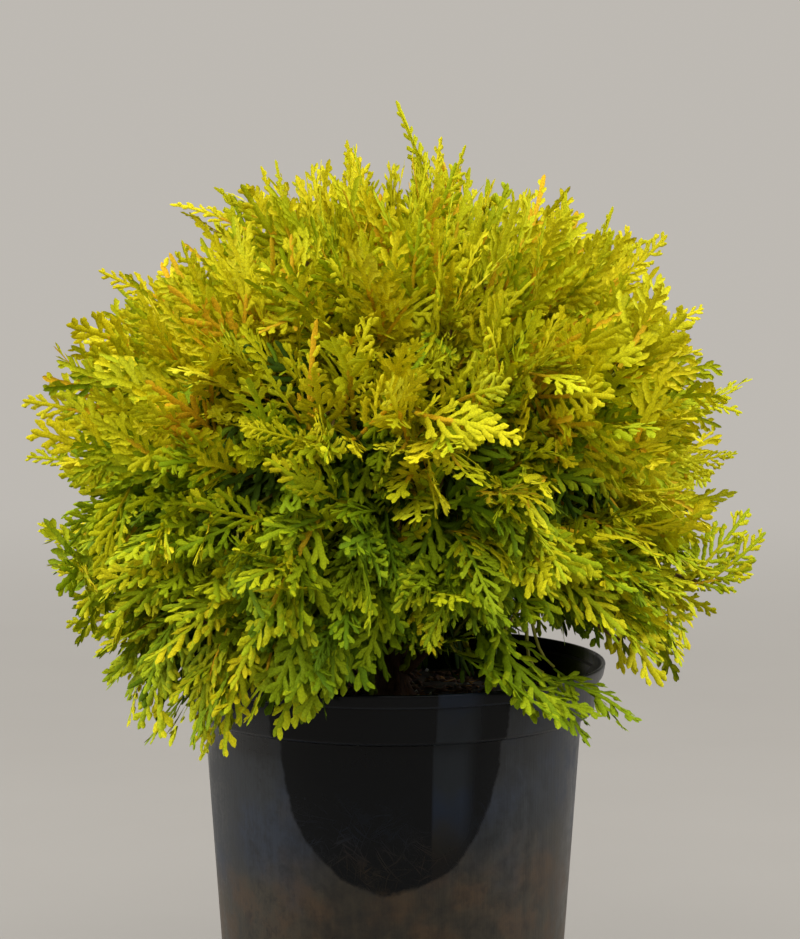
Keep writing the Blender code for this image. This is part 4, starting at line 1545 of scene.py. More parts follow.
build_trunk()
build_boughs()
for _n, _b, _m in (("twigs", TWIGS, TWIG_BARK), ("stems", STEMS, STEM_SKIN),
                   ("branches", BRANCHES, BOUGH_BARK)):
    ob = make_mesh(_n, np.vstack(_b.v), np.vstack(_b.f), np.vstack(_b.n))
    ob.data.materials.append(_m)
    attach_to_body(ob, "root")
    print("piece", _n, _b.nf)


# --------------------------------------------------------------------- pot
def arc(cx, cz, radius, a0, a1, n):
    return [(cx + radius * math.cos(math.radians(a0 + (a1 - a0) * i / n)),
             cz + radius * math.sin(math.radians(a0 + (a1 - a0) * i / n)))
            for i in range(n + 1)]


def pot_profile():
    lip_z = POT_HEIGHT - POT_LIP_HEIGHT
    band_z = lip_z - POT_BAND_HEIGHT
    pts = []
    # rounded lip
    pts += arc(POT_LIP_RADIUS - 0.8, POT_HEIGHT - 0.8, 0.8, 120, 0, 5)
    pts += [(POT_LIP_RADIUS - 0.25, POT_HEIGHT - 2.2),
            (POT_LIP_RADIUS - 0.75, lip_z + 1.0),
            (POT_LIP_RADIUS - 1.05, lip_z + 0.35),
            (POT_BAND_TOP_RADIUS - 0.05, lip_z - 0.05)]
    # band down to its rolled foot
    for i in range(1, 7):
        t = i / 6.0
        pts.append((POT_BAND_TOP_RADIUS + (POT_BAND_FOOT_RADIUS
                                           - POT_BAND_TOP_RADIUS) * t
                    + 0.10 * math.sin(t * math.pi),
                    lip_z - 0.5 - (POT_BAND_HEIGHT - 3.1) * t))
    pts += arc(POT_BAND_FOOT_RADIUS - 2.0, band_z + 2.4, 2.0, -8, -78, 5)
    pts += [(POT_BODY_TOP_RADIUS + 1.6, band_z - 0.05),
            (POT_BODY_TOP_RADIUS + 0.5, band_z - 0.7),
            (body_radius(band_z - 2.2), band_z - 2.2)]
    for i in range(1, 14):
        z = (band_z - 2.2) + (6.0 - (band_z - 2.2)) * i / 13.0
        pts.append((body_radius(z), z))
    pts += [(body_radius(POT_HEEL), POT_HEEL)]
    pts += arc(POT_BASE_RADIUS - 2.9, 2.9, 2.9, -8, -82, 5)
    pts += [(POT_BASE_RADIUS - POT_HEEL - 0.6, 0.0), (40.0, 0.0), (18.0, 0.0),
            (0.0, 0.0)]
    inner = [(0.0, POT_FLOOR), (40.0, POT_FLOOR),
             (POT_BASE_RADIUS - POT_HEEL - POT_WALL, POT_FLOOR),
             (body_radius(POT_HEEL + POT_FLOOR) - POT_WALL,
              POT_HEEL + POT_FLOOR),
             (body_radius(band_z - 2.6) - POT_WALL, band_z - 2.6),
             (POT_BAND_FOOT_RADIUS - POT_WALL - 0.9, band_z + 2.2),
             (POT_BAND_TOP_RADIUS - POT_WALL, lip_z - 0.4),
             (POT_LIP_RADIUS - POT_WALL - 0.8, lip_z + 1.2),
             (POT_LIP_RADIUS - POT_WALL - 0.25, POT_HEIGHT - 1.0),
             (POT_LIP_RADIUS - POT_WALL - 0.05, POT_HEIGHT - 0.5)]
    return pts, inner


def bare_patch(nt, azimuth, height, centre, half, top, depth):
    """0 inside a rounded bare patch of the pot's film, 1 outside it."""
    turn = math_node(nt, "SUBTRACT", azimuth, centre)
    turn = math_node(nt, "WRAP", turn, math.pi, -math.pi)
    u = math_node(nt, "DIVIDE", turn, half)
    drop = math_node(nt, "MAXIMUM", math_node(nt, "SUBTRACT", top, height), 0.0)
    w = math_node(nt, "DIVIDE", drop, depth)
    q = math_node(nt, "SQRT", math_node(
        nt, "ADD", math_node(nt, "MULTIPLY", u, u),
        math_node(nt, "MULTIPLY", w, w)))
    return q


def noise_node(nt, vector, scale, detail, rough=0.5):
    node = nt.nodes.new("ShaderNodeTexNoise")
    node.inputs["Scale"].default_value = scale
    node.inputs["Detail"].default_value = detail
    node.inputs["Roughness"].default_value = rough
    nt.links.new(vector, node.inputs["Vector"])
    return node.outputs["Fac"]


def scratches(nt, vector, turn, seed):
    """Thin curved scratches that run at one slant over the pot's front."""
    warp = nt.nodes.new("ShaderNodeTexNoise")
    warp.inputs["Scale"].default_value = 30.0
    nt.links.new(vector, warp.inputs["Vector"])
    curve = nt.nodes.new("ShaderNodeVectorMath")
    curve.operation = "MULTIPLY_ADD"
    curve.inputs[1].default_value = (0.024, 0.024, 0.024)
    nt.links.new(warp.outputs["Color"], curve.inputs[0])
    nt.links.new(vector, curve.inputs[2])
    spin = nt.nodes.new("ShaderNodeMapping")
    spin.inputs["Location"].default_value = (seed, seed, seed)
    spin.inputs["Rotation"].default_value = (0.0, turn, 0.0)
    nt.links.new(curve.outputs["Vector"], spin.inputs["Vector"])
    squeeze = nt.nodes.new("ShaderNodeMapping")
    squeeze.inputs["Scale"].default_value = (1250, 70, 62)
    nt.links.new(spin.outputs["Vector"], squeeze.inputs["Vector"])
    return map_node(nt, noise_node(nt, squeeze.outputs["Vector"], 1.0, 1.0),
                    0.62, 0.71, 0.0, 0.50)


def pot_material():
    """Black satin plastic under a thin film, partly dust and partly painted
    reflection: a bluish painted reflection above, brown below with dried
    soil and painted reflection, left bare in a few rounded patches."""
    mat, nt, bsdf = new_material("pot_black_plastic")
    n = nt.nodes
    tc = n.new("ShaderNodeTexCoord")
    sep = n.new("ShaderNodeSeparateXYZ")
    nt.links.new(tc.outputs["Object"], sep.inputs["Vector"])
    azimuth = math_node(nt, "ARCTAN2", sep.outputs["X"],
                        math_node(nt, "MULTIPLY", sep.outputs["Y"], -1.0))
    height = sep.outputs["Z"]
    # uneven edge for the patches
    wob = n.new("ShaderNodeTexNoise")
    wob.inputs["Scale"].default_value = 55.0
    wob.inputs["Detail"].default_value = 3.0
    nt.links.new(tc.outputs["Object"], wob.inputs["Vector"])
    nick = n.new("ShaderNodeTexNoise")
    nick.inputs["Scale"].default_value = 420.0
    nick.inputs["Detail"].default_value = 2.0
    nt.links.new(tc.outputs["Object"], nick.inputs["Vector"])
    wobble = math_node(nt, "MULTIPLY_ADD", wob.outputs["Fac"], 0.12, -0.06)
    wobble = math_node(nt, "MULTIPLY_ADD", nick.outputs["Fac"], 0.03, wobble)
    # painted reflection: the bare, darker patch at the front stands for a dark
    # reflection; the film stays off it
    q = bare_patch(nt, azimuth, height, -0.018, 0.592, 0.1450, 0.0552)
    for centre, half, top, depth in ((2.25, 0.50, 0.150, 0.085),
                                     (-1.95, 0.62, 0.150, 0.060)):
        q = math_node(nt, "MINIMUM", q, bare_patch(
            nt, azimuth, height, centre, half, top, depth))
    outside = map_node(nt, math_node(nt, "ADD", q, wobble), 0.99, 1.03,
                       0.0, 1.0, True)
    # dust film, partly painted reflection
    dust = n.new("ShaderNodeTexNoise")
    dust.inputs["Scale"].default_value = 30.0
    dust.inputs["Detail"].default_value = 7.0
    dust.inputs["Roughness"].default_value = 0.62
    nt.links.new(tc.outputs["Object"], dust.inputs["Vector"])
    dust_and_reflection = map_node(nt, dust.outputs["Fac"], 0.30, 0.66, 0.40, 1.0)
    fine = n.new("ShaderNodeTexNoise")
    fine.inputs["Scale"].default_value = 150.0
    fine.inputs["Detail"].default_value = 6.0
    fine.inputs["Roughness"].default_value = 0.7
    nt.links.new(tc.outputs["Object"], fine.inputs["Vector"])
    dust_and_reflection = math_node(nt, "MULTIPLY", dust_and_reflection, map_node(
        nt, fine.outputs["Fac"], 0.32, 0.68, 0.46, 1.40))
    # grainier, with run-down marks, towards the left
    leftwards = map_node(nt, azimuth, -0.50, -0.80, 0.0, 1.0, True)
    grain = map_node(nt, noise_node(nt, tc.outputs["Object"], 560.0, 4.0, 0.7),
                     0.30, 0.70, -0.24, 0.52)
    dust_and_reflection = math_node(nt, "ADD", dust_and_reflection, math_node(
        nt, "MULTIPLY", grain, map_node(nt, leftwards, 0.0, 1.0, 0.22, 1.0)))
    run = n.new("ShaderNodeMapping")
    run.inputs["Scale"].default_value = (230, 230, 26)
    nt.links.new(tc.outputs["Object"], run.inputs["Vector"])
    dust_and_reflection = math_node(nt, "MULTIPLY", dust_and_reflection, map_node(
        nt, noise_node(nt, run.outputs["Vector"], 1.0, 4.0, 0.6),
        0.34, 0.66, 0.80, 1.20))
    # painted shade: from just under the band upwards the film thins, most on the left,
    # so the pot is darker there
    under = map_node(nt, height, 0.1375, 0.1415, 0.0, 0.60, True)
    dust_and_reflection = math_node(nt, "MULTIPLY", dust_and_reflection, math_node(
        nt, "SUBTRACT", 1.0, math_node(nt, "MULTIPLY", under, map_node(
            nt, azimuth, -0.36, -0.60, 0.30, 1.0, True))))
    dust_and_reflection = math_node(nt, "MULTIPLY", dust_and_reflection, outside, clamp=True)
    # wiped haze and thin scratches low in the bare patches
    marks = map_node(nt, noise_node(nt, tc.outputs["Object"], 95.0, 8.0, 0.78),
                     0.50, 0.74, 0.0, 0.62)
    for turn, seed in ((0.55, 0.0), (-0.45, 3.0), (1.15, 5.0), (-1.05, 8.0)):
        marks = math_node(nt, "MAXIMUM", marks, scratches(
            nt, tc.outputs["Object"], turn, seed))
    marks = math_node(nt, "MULTIPLY", marks, map_node(
        nt, noise_node(nt, tc.outputs["Object"], 48.0, 3.0), 0.38, 0.58,
        0.15, 1.0))
    zone = map_node(nt, height, 0.134, 0.104, 0.05, 0.85, True)
    dust_and_reflection = math_node(nt, "MAXIMUM", dust_and_reflection, math_node(nt, "MULTIPLY", marks, zone))
    # painted highlights: thin pale lines under the lip and at the foot of the band
    for edge_z in (POT_HEIGHT - POT_LIP_HEIGHT + 0.5,
                   POT_HEIGHT - POT_LIP_HEIGHT - POT_BAND_HEIGHT + 0.7):
        painted_edge_highlight = map_node(nt, math_node(nt, "ABSOLUTE", math_node(
            nt, "SUBTRACT", height, edge_z * MM)), 0.0002, 0.0006, 0.75, 0.0,
            True)
        dust_and_reflection = math_node(nt, "MAXIMUM", dust_and_reflection, painted_edge_highlight)
    # painted reflection: a faint pale streak down the front right
    painted_reflection_streak = math_node(
        nt, "MULTIPLY", map_node(nt, azimuth, 0.196, 0.214, 0.0, 0.92, True),
        map_node(nt, azimuth, 0.345, 0.450, 1.0, 0.0, True))
    painted_reflection_streak = math_node(nt, "MULTIPLY", painted_reflection_streak, map_node(
        nt, height, 0.100, 0.124, 0.12, 1.0, True))
    painted_reflection_streak = math_node(nt, "MULTIPLY", painted_reflection_streak, map_node(
        nt, dust.outputs["Fac"], 0.34, 0.62, 0.82, 1.08))
    dust_and_reflection = math_node(nt, "MAXIMUM", dust_and_reflection, painted_reflection_streak)
    # specks of dried splash
    specks = n.new("ShaderNodeTexVoronoi")
    specks.inputs["Scale"].default_value = 230.0
    nt.links.new(tc.outputs["Object"], specks.inputs["Vector"])
    speck = map_node(nt, specks.outputs["Distance"], 0.10, 0.03, 0.0, 0.9)
    gate = n.new("ShaderNodeTexNoise")
    gate.inputs["Scale"].default_value = 60.0
    nt.links.new(tc.outputs["Object"], gate.inputs["Vector"])
    speck = math_node(nt, "MULTIPLY", speck, map_node(
        nt, gate.outputs["Fac"], 0.60, 0.68, 0.0, 1.0))
    dust_and_reflection = math_node(nt, "ADD", dust_and_reflection, speck, clamp=True)
    # painted bluish reflection above; brownish below, partly dried soil and partly
    # painted reflection
    low = n.new("ShaderNodeMix")
    low.data_type = "RGBA"
    stain = n.new("ShaderNodeTexNoise")
    stain.inputs["Scale"].default_value = 26.0
    stain.inputs["Detail"].default_value = 6.0
    nt.links.new(tc.outputs["Object"], stain.inputs["Vector"])
    nt.links.new(map_node(nt, math_node(nt, "MULTIPLY_ADD", stain.outputs["Fac"],
                                        0.105, height), 0.134, 0.166, 0.0, 1.0,
                          True), low.inputs["Factor"])
    rust = n.new("ShaderNodeTexNoise")
    rust.inputs["Scale"].default_value = 62.0
    rust.inputs["Detail"].default_value = 5.0
    nt.links.new(tc.outputs["Object"], rust.inputs["Vector"])
    soil_and_reflection_brown = n.new("ShaderNodeMix")
    soil_and_reflection_brown.data_type = "RGBA"
    nt.links.new(map_node(nt, rust.outputs["Fac"], 0.42, 0.62, 0.0, 1.0, True),
                 soil_and_reflection_brown.inputs["Factor"])
    soil_and_reflection_brown.inputs["A"].default_value = (0.030, 0.0230, 0.0130, 1)
    soil_and_reflection_brown.inputs["B"].default_value = (0.042, 0.0245, 0.0110, 1)
    nt.links.new(soil_and_reflection_brown.outputs["Result"], low.inputs["A"])
    painted_blue_reflection = n.new("ShaderNodeMix")
    painted_blue_reflection.data_type = "RGBA"
    nt.links.new(map_node(nt, noise_node(nt, tc.outputs["Object"], 34.0, 4.0),
                          0.42, 0.60, 0.0, 1.0, True), painted_blue_reflection.inputs["Factor"])
    painted_blue_reflection.inputs["A"].default_value = (0.0138, 0.0166, 0.0200, 1)
    painted_blue_reflection.inputs["B"].default_value = (0.0116, 0.0170, 0.0290, 1)
    nt.links.new(painted_blue_reflection.outputs["Result"], low.inputs["B"])
    mix = n.new("ShaderNodeMix")
    mix.data_type = "RGBA"
    nt.links.new(dust_and_reflection, mix.inputs["Factor"])
    mix.inputs["A"].default_value = (0.0018, 0.0023, 0.0030, 1)
    nt.links.new(low.outputs["Result"], mix.inputs["B"])
    nt.links.new(mix.outputs["Result"], bsdf.inputs["Base Color"])
    rough = math_node(nt, "MULTIPLY_ADD", dust_and_reflection, 0.22, map_node(
        nt, dust.outputs["Fac"], 0.3, 0.75, 0.20, 0.30))
    nt.links.new(rough, bsdf.inputs["Roughness"])
    nt.links.new(map_node(nt, outside, 0.0, 1.0, 0.14, 0.36),
                 bsdf.inputs["Specular IOR Level"])
    # fine vertical flow of the moulding, and scratches
    mp = n.new("ShaderNodeMapping")
    mp.inputs["Scale"].default_value = (60, 60, 9)
    nt.links.new(tc.outputs["Object"], mp.inputs["Vector"])
    flow = n.new("ShaderNodeTexNoise")
    flow.inputs["Scale"].default_value = 1.0
    flow.inputs["Detail"].default_value = 4.0
    nt.links.new(mp.outputs["Vector"], flow.inputs["Vector"])
    smp = n.new("ShaderNodeMapping")
    smp.inputs["Rotation"].default_value = (0.2, 0.5, 0.9)
    smp.inputs["Scale"].default_value = (1400, 40, 60)
    nt.links.new(tc.outputs["Object"], smp.inputs["Vector"])
    scr = n.new("ShaderNodeTexNoise")
    scr.inputs["Scale"].default_value = 1.0
    scr.inputs["Detail"].default_value = 2.0
    nt.links.new(smp.outputs["Vector"], scr.inputs["Vector"])
    hgt = math_node(nt, "MULTIPLY_ADD", scr.outputs["Fac"], 0.35,
                    flow.outputs["Fac"])
    bump = n.new("ShaderNodeBump")
    bump.inputs["Strength"].default_value = 0.22
    bump.inputs["Distance"].default_value = 0.0006
    nt.links.new(hgt, bump.inputs["Height"])
    nt.links.new(bump.outputs["Normal"], bsdf.inputs["Normal"])
    return mat


def build_pot():
    outer, inner = pot_profile()
    me = bpy.data.meshes.new("pot_profile")
    bm = bmesh.new()
    pts = outer + inner
    vs = [bm.verts.new((r * MM, 0.0, z * MM)) for r, z in pts]
    for a, b in zip(vs, vs[1:]):
        if abs(a.co.x) < 1e-9 and abs(b.co.x) < 1e-9:
            continue
        bm.edges.new((a, b))
    bm.edges.new((vs[-1], vs[0]))
    bm.to_mesh(me)
    bm.free()
    ob = bpy.data.objects.new("pot_shell", me)
    bpy.context.scene.collection.objects.link(ob)
    mod = ob.modifiers.new("Turn", "SCREW")
    mod.steps = mod.render_steps = 144
    mod.use_merge_vertices = True
    mod.merge_threshold = 0.00001
    mod.use_normal_calculate = True
    cm = bpy.data.meshes.new("drain_cutter")
    bm = bmesh.new()
    for k in range(DRAIN_COUNT):
        az = 2.0 * math.pi * (k + 0.5) / DRAIN_COUNT
        turn = (Matrix.Rotation(az, 4, "Z")
                @ Matrix.Translation(((POT_BASE_RADIUS - 1.0) * MM, 0.0, 3.5 * MM))
                @ Matrix.Rotation(math.radians(62.0), 4, "Y"))
        bmesh.ops.create_cone(bm, cap_ends=True, segments=28,
                              radius1=DRAIN_RADIUS * MM,
                              radius2=DRAIN_RADIUS * MM,
                              depth=26.0 * MM, matrix=turn)
    bmesh.ops.recalc_face_normals(bm, faces=bm.faces)
    bm.to_mesh(cm)
    bm.free()
    cutter = bpy.data.objects.new("drain_cutter", cm)
    bpy.context.scene.collection.objects.link(cutter)
    dg = bpy.context.evaluated_depsgraph_get()
    turned = bpy.data.meshes.new_from_object(ob.evaluated_get(dg))
    ob.modifiers.clear()
    bm = bmesh.new()
    bm.from_mesh(turned)
    bmesh.ops.remove_doubles(bm, verts=bm.verts, dist=0.00001)
    bmesh.ops.dissolve_degenerate(bm, edges=bm.edges, dist=0.00001)
    bmesh.ops.recalc_face_normals(bm, faces=bm.faces)
    bm.to_mesh(turned)
    bm.free()
    ob.data = turned
    mod = ob.modifiers.new("Drain", "BOOLEAN")
    mod.operation = "DIFFERENCE"
    mod.solver = "EXACT"
    mod.object = cutter
    bpy.context.view_layer.update()
    dg = bpy.context.evaluated_depsgraph_get()
    cutmesh = bpy.data.meshes.new_from_object(ob.evaluated_get(dg))
    ob.modifiers.clear()
    ob.data = cutmesh
    bpy.data.objects.remove(cutter, do_unlink=True)
    cutmesh.materials.clear()
    cutmesh.materials.append(pot_material())
    for p in cutmesh.polygons:
        p.material_index = 0
        p.use_smooth = True
    cutmesh.set_sharp_from_angle(angle=math.radians(34.0))
    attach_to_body(ob, "root")
    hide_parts("pot")


build_pot()


# -------------------------------------------------------------------- soil
def soil_material():
    mat, nt, bsdf = new_material("potting_mix")
    n = nt.nodes
    tc = n.new("ShaderNodeTexCoord")
    vor = n.new("ShaderNodeTexVoronoi")
    vor.inputs["Scale"].default_value = 420.0
    nt.links.new(tc.outputs["Object"], vor.inputs["Vector"])
    noi = n.new("ShaderNodeTexNoise")
    noi.inputs["Scale"].default_value = 130.0
    noi.inputs["Detail"].default_value = 8.0
    nt.links.new(tc.outputs["Object"], noi.inputs["Vector"])
    ramp = n.new("ShaderNodeValToRGB")
    ramp.color_ramp.elements[0].position = 0.3
    ramp.color_ramp.elements[0].color = (0.012, 0.008, 0.005, 1)
    ramp.color_ramp.elements[1].position = 0.75
    ramp.color_ramp.elements[1].color = (0.110, 0.066, 0.040, 1)
    nt.links.new(noi.outputs["Fac"], ramp.inputs["Fac"])
    mix = n.new("ShaderNodeMix")
    mix.data_type = "RGBA"
    mix.blend_type = "MULTIPLY"
    mix.inputs["Factor"].default_value = 0.6
    nt.links.new(ramp.outputs["Color"], mix.inputs["A"])
    nt.links.new(vor.outputs["Color"], mix.inputs["B"])
    nt.links.new(mix.outputs["Result"], bsdf.inputs["Base Color"])
    bump = n.new("ShaderNodeBump")
    bump.inputs["Strength"].default_value = 0.9
    bump.inputs["Distance"].default_value = 0.0015
    nt.links.new(noi.outputs["Fac"], bump.inputs["Height"])
    nt.links.new(bump.outputs["Normal"], bsdf.inputs["Normal"])
    bsdf.inputs["Roughness"].default_value = 0.95
    return mat


def chip_material(name, a, b):
    mat, nt, bsdf = new_material(name)
    tc = nt.nodes.new("ShaderNodeTexCoord")
    noi = nt.nodes.new("ShaderNodeTexNoise")
    noi.inputs["Scale"].default_value = 330.0
    noi.inputs["Detail"].default_value = 4.0
    nt.links.new(tc.outputs["Object"], noi.inputs["Vector"])
    ramp = nt.nodes.new("ShaderNodeValToRGB")
    ramp.color_ramp.elements[0].position = 0.35
    ramp.color_ramp.elements[0].color = (*a, 1)
    ramp.color_ramp.elements[1].position = 0.65
    ramp.color_ramp.elements[1].color = (*b, 1)
    nt.links.new(noi.outputs["Fac"], ramp.inputs["Fac"])
    nt.links.new(ramp.outputs["Color"], bsdf.inputs["Base Color"])
    bump = nt.nodes.new("ShaderNodeBump")
    bump.inputs["Strength"].default_value = 0.6
    bump.inputs["Distance"].default_value = 0.0008
    nt.links.new(noi.outputs["Fac"], bump.inputs["Height"])
    nt.links.new(bump.outputs["Normal"], bsdf.inputs["Normal"])
    bsdf.inputs["Roughness"].default_value = 0.9
    return mat


def soil_height(x, y):
    p = Vector((x / 22.0, y / 22.0, 1.0))
    q = Vector((x / 7.0, y / 7.0, 4.0))
    r = math.hypot(x, y)
    fade = min(1.0, max(0.0, (r - 8.0) / 14.0))
    return SOIL_TOP - 0.6 + (1.7 * noise.noise(p) + 0.9 * noise.noise(q)) * fade


def build_soil():
    band_z = POT_HEIGHT - POT_LIP_HEIGHT - POT_BAND_HEIGHT
    edge = POT_BAND_FOOT_RADIUS - POT_WALL - 1.4
    rings = [0.0] + [edge * (i / 26.0) for i in range(1, 27)]
    seg = 96
    v, f = [], []
    for i, r in enumerate(rings):
        for j in range(seg):
            a = 2 * math.pi * j / seg
            x, y = r * math.cos(a), r * math.sin(a)
            v.append((x, y, soil_height(x, y)))
    down = [(edge, band_z + 3.0), (body_radius(band_z - 2.6) - POT_WALL - 0.4,
                                   band_z - 2.6),
            (body_radius(POT_HEEL + POT_FLOOR) - POT_WALL - 0.4, 5.8),
            (POT_BASE_RADIUS - POT_HEEL - POT_WALL - 0.4, POT_FLOOR + 0.3),
            (0.0, POT_FLOOR + 0.3)]
    for r, z in down:
        for j in range(seg):
            a = 2 * math.pi * j / seg
            v.append((r * math.cos(a), r * math.sin(a), z))
    total = len(rings) + len(down)
    for i in range(total - 1):
        for j in range(seg):
            a, b = i * seg + j, i * seg + (j + 1) % seg
            c, d = a + seg, b + seg
            f.append((a, d, b))
            f.append((a, c, d))
    v = np.array(v)
    f = np.array(f)
    ob = make_mesh("soil_body", v, f)
    bm = bmesh.new()
    bm.from_mesh(ob.data)
    bmesh.ops.remove_doubles(bm, verts=bm.verts, dist=0.00001)
    bmesh.ops.dissolve_degenerate(bm, edges=bm.edges, dist=0.000005)
    bmesh.ops.recalc_face_normals(bm, faces=bm.faces)
    bm.to_mesh(ob.data)
    bm.free()
    ob.data.materials.append(soil_material())
    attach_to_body(ob, "root")
    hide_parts("soil")


def lump(r, size, flat):
    """A small rough lump, as vertices and faces of a jittered octahedron."""
    base = np.array([(1, 0, 0), (-1, 0, 0), (0, 1, 0), (0, -1, 0), (0, 0, 1),
                     (0, 0, -1), (0.7, 0.7, 0), (-0.7, -0.7, 0)], float)[:6]
    v = base * np.array(size) * r.uniform(0.7, 1.25, (6, 3))
    f = np.array([(0, 2, 4), (2, 1, 4), (1, 3, 4), (3, 0, 4), (2, 0, 5),
                  (1, 2, 5), (3, 1, 5), (0, 3, 5)])
    a = r.uniform(0, 2 * math.pi)
    tilt = r.normal(0, flat)
    rot = np.array(Matrix.Rotation(a, 3, "Z") @ Matrix.Rotation(tilt, 3, "X")
                   @ Matrix.Rotation(r.normal(0, flat), 3, "Y"))
    return v @ rot.T, f


def build_litter():
    r = np.random.default_rng(SEED + 8)
    kinds = (("bark_chips", 620, (3.0, 1.5, 0.8), 0.35,
              ((0.060, 0.030, 0.016), (0.170, 0.085, 0.045))),
             ("perlite_grains", 130, (1.0, 0.9, 0.8), 1.0,
              ((0.50, 0.48, 0.44), (0.72, 0.70, 0.66))),
             ("fallen_leaf_bits", 260, (3.4, 0.8, 0.25), 0.25,
              ((0.28, 0.13, 0.035), (0.45, 0.24, 0.06))))
    for name, count, size, flat, cols in kinds:
        vs, fs, nv = [], [], 0
        for _ in range(count):
            rad = 76.0 * math.sqrt(r.random())
            a = r.uniform(0, 2 * math.pi)
            x, y = rad * math.cos(a), rad * math.sin(a)
            if rad < 11.0:
                continue
            s = np.array(size) * r.uniform(0.6, 1.5)
            if rad + s[0] > 76.5:
                continue
            v, f = lump(r, s, flat)
            v = v + np.array([x, y, soil_height(x, y) + s[2] * 0.35])
            vs.append(v)
            fs.append(f + nv)
            nv += len(v)
        ob = make_mesh(name, np.vstack(vs), np.vstack(fs), smooth=False)
        ob.data.materials.append(chip_material(name, *cols))
        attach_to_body(ob, "root")


build_soil()
build_litter()


# ------------------------------------------------------------------- stage
FLOOR_FLAT = 2.6           # metres: flat to here, then a rising sweep
SWEEP_RADIUS = 4.6
SWEEP_HEIGHT = 2.1
SWEEP_GLOW = (0.512, 0.486, 0.449)


def stage_material():
    """Pale paper: a plain floor round the pot that passes far off into a
    sweep that glows by itself, a painted light, dimmer towards the front."""
    mat, nt, bsdf = new_material("stage_paper")
    n = nt.nodes
    tc = n.new("ShaderNodeTexCoord")
    noi = n.new("ShaderNodeTexNoise")
    noi.inputs["Scale"].default_value = 7.0
    noi.inputs["Detail"].default_value = 4.0
    nt.links.new(tc.outputs["Object"], noi.inputs["Vector"])
    ramp = n.new("ShaderNodeValToRGB")
    ramp.color_ramp.elements[0].color = (0.256, 0.242, 0.224, 1)
    ramp.color_ramp.elements[1].color = (0.276, 0.261, 0.242, 1)
    nt.links.new(noi.outputs["Fac"], ramp.inputs["Fac"])
    nt.links.new(ramp.outputs["Color"], bsdf.inputs["Base Color"])
    bsdf.inputs["Roughness"].default_value = 0.85
    bsdf.inputs["Specular IOR Level"].default_value = 0.12
    flat = n.new("ShaderNodeVectorMath")
    flat.operation = "MULTIPLY"
    flat.inputs[1].default_value = (1.0, 1.0, 0.0)
    nt.links.new(tc.outputs["Object"], flat.inputs[0])
    dist = n.new("ShaderNodeVectorMath")
    dist.operation = "LENGTH"
    nt.links.new(flat.outputs["Vector"], dist.inputs[0])
    fade = n.new("ShaderNodeMapRange")
    fade.interpolation_type = "SMOOTHSTEP"
    fade.inputs["From Min"].default_value = 0.45
    fade.inputs["From Max"].default_value = 2.2
    nt.links.new(dist.outputs["Value"], fade.inputs["Value"])
    glow = n.new("ShaderNodeEmission")
    glow.inputs["Color"].default_value = (*SWEEP_GLOW, 1)
    sep = n.new("ShaderNodeSeparateXYZ")
    nt.links.new(tc.outputs["Object"], sep.inputs["Vector"])
    # painted light: the sweep's glow is dimmer towards the front
    nt.links.new(map_node(nt, sep.outputs["Y"], -1.6, -0.2, 0.30, 1.0, True),
                 glow.inputs["Strength"])
    mix = n.new("ShaderNodeMixShader")
    nt.links.new(fade.outputs["Result"], mix.inputs["Fac"])
    nt.links.new(bsdf.outputs["BSDF"], mix.inputs[1])
    nt.links.new(glow.outputs["Emission"], mix.inputs[2])
    nt.links.new(mix.outputs["Shader"], n["Material Output"].inputs["Surface"])
    return mat


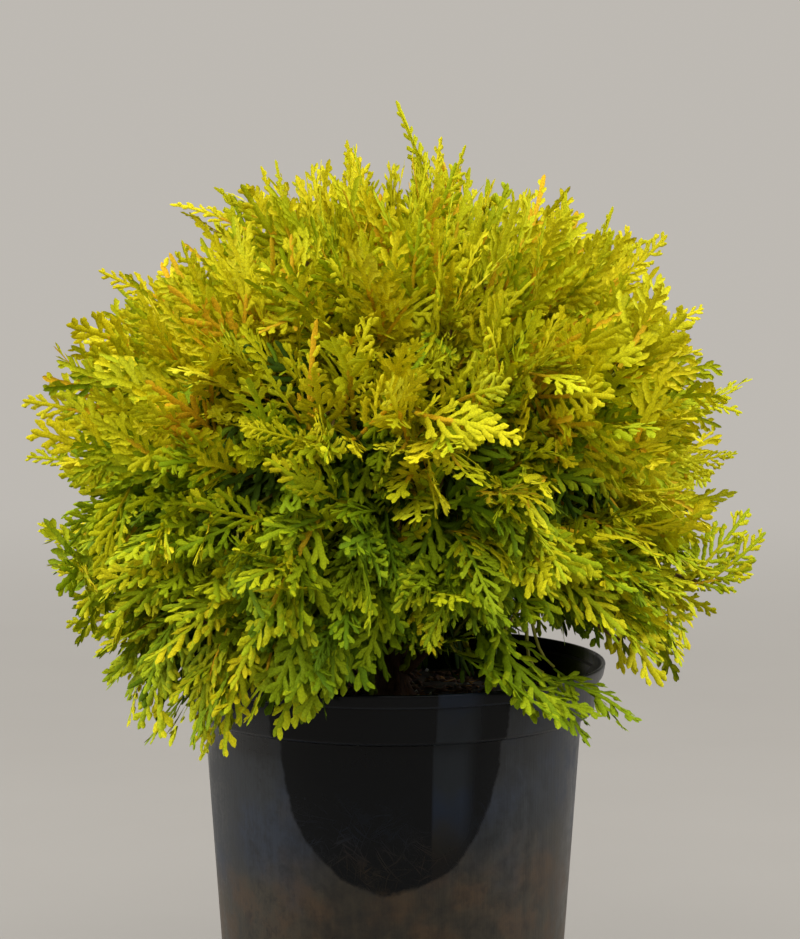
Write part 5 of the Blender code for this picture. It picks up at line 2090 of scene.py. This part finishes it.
def build_stage():
    prof = [(r, -0.0002) for r in (0.12, 0.3, 0.6, 1.0, 1.6, FLOOR_FLAT)]
    for i in range(1, 15):
        t = math.radians(90.0 * i / 14.0)
        prof.append((FLOOR_FLAT + (SWEEP_RADIUS - FLOOR_FLAT) * math.sin(t),
                     -0.0002 + SWEEP_HEIGHT * (1.0 - math.cos(t))))
    seg = 96
    me = bpy.data.meshes.new("floor")
    bm = bmesh.new()
    centre = bm.verts.new((0.0, 0.0, -0.0002))
    rows = [[bm.verts.new((r * math.cos(2 * math.pi * j / seg),
                           r * math.sin(2 * math.pi * j / seg), z))
             for j in range(seg)] for r, z in prof]
    for j in range(seg):
        bm.faces.new((centre, rows[0][j], rows[0][(j + 1) % seg]))
    for a, b in zip(rows, rows[1:]):
        for j in range(seg):
            k = (j + 1) % seg
            bm.faces.new((a[j], b[j], b[k], a[k]))
    bmesh.ops.recalc_face_normals(bm, faces=bm.faces)
    bm.to_mesh(me)
    bm.free()
    me.polygons.foreach_set("use_smooth", np.ones(len(me.polygons), bool))
    floor = bpy.data.objects.new("floor", me)
    bpy.context.scene.collection.objects.link(floor)
    me.materials.append(stage_material())


def area(name, loc, target, size, power, colour=(1, 1, 1)):
    data = bpy.data.lights.new(name, "AREA")
    data.shape = "RECTANGLE"
    data.size, data.size_y = size
    data.energy = power
    data.color = colour
    ob = bpy.data.objects.new(name, data)
    bpy.context.scene.collection.objects.link(ob)
    ob.location = loc
    ob.rotation_mode = "QUATERNION"
    ob.rotation_quaternion = (Vector(target) - Vector(loc)).to_track_quat("-Z", "Y")
    ob.visible_camera = False
    return ob


def build_lights():
    sc = bpy.context.scene
    world = bpy.data.worlds.new("studio")
    sc.world = world
    world.use_nodes = True
    bg = world.node_tree.nodes["Background"]
    bg.inputs["Color"].default_value = (1.0, 0.985, 0.955, 1.0)
    bg.inputs["Strength"].default_value = 1.50
    area("top_soft", (0.0, -0.80, 1.68), (0, 0, 0.27), (2.4, 1.7), 12.8,
         (1.0, 0.985, 0.95))
    area("left_soft", (-1.25, -0.12, 0.62), (0, 0, 0.20), (0.75, 1.2), 11.0,
         (0.93, 0.97, 1.0))
    area("right_soft", (1.25, -0.12, 0.62), (0, 0, 0.20), (0.75, 1.2), 11.0,
         (0.93, 0.97, 1.0))


def build_camera():
    cam = bpy.data.cameras.new("camera")
    ob = bpy.data.objects.new("camera", cam)
    bpy.context.scene.collection.objects.link(ob)
    cam.sensor_fit = "AUTO"
    cam.sensor_width = 36.0
    dist = 1.10
    dep = math.radians(9.2)
    pitch = math.radians(5.26)
    cam.lens = 2750.0 * 36.0 / 939.0
    ob.location = (0.0028, -dist * math.cos(dep), 0.168 + dist * math.sin(dep))
    ob.rotation_euler = (math.radians(90.0) - pitch, 0.0, 0.0)
    cam.clip_start, cam.clip_end = 0.05, 60.0
    bpy.context.scene.camera = ob


build_stage()
build_lights()
build_camera()
bpy.context.scene.view_settings.view_transform = "Standard"
bpy.context.scene.view_settings.look = "None"

bpy.context.view_layer.update()
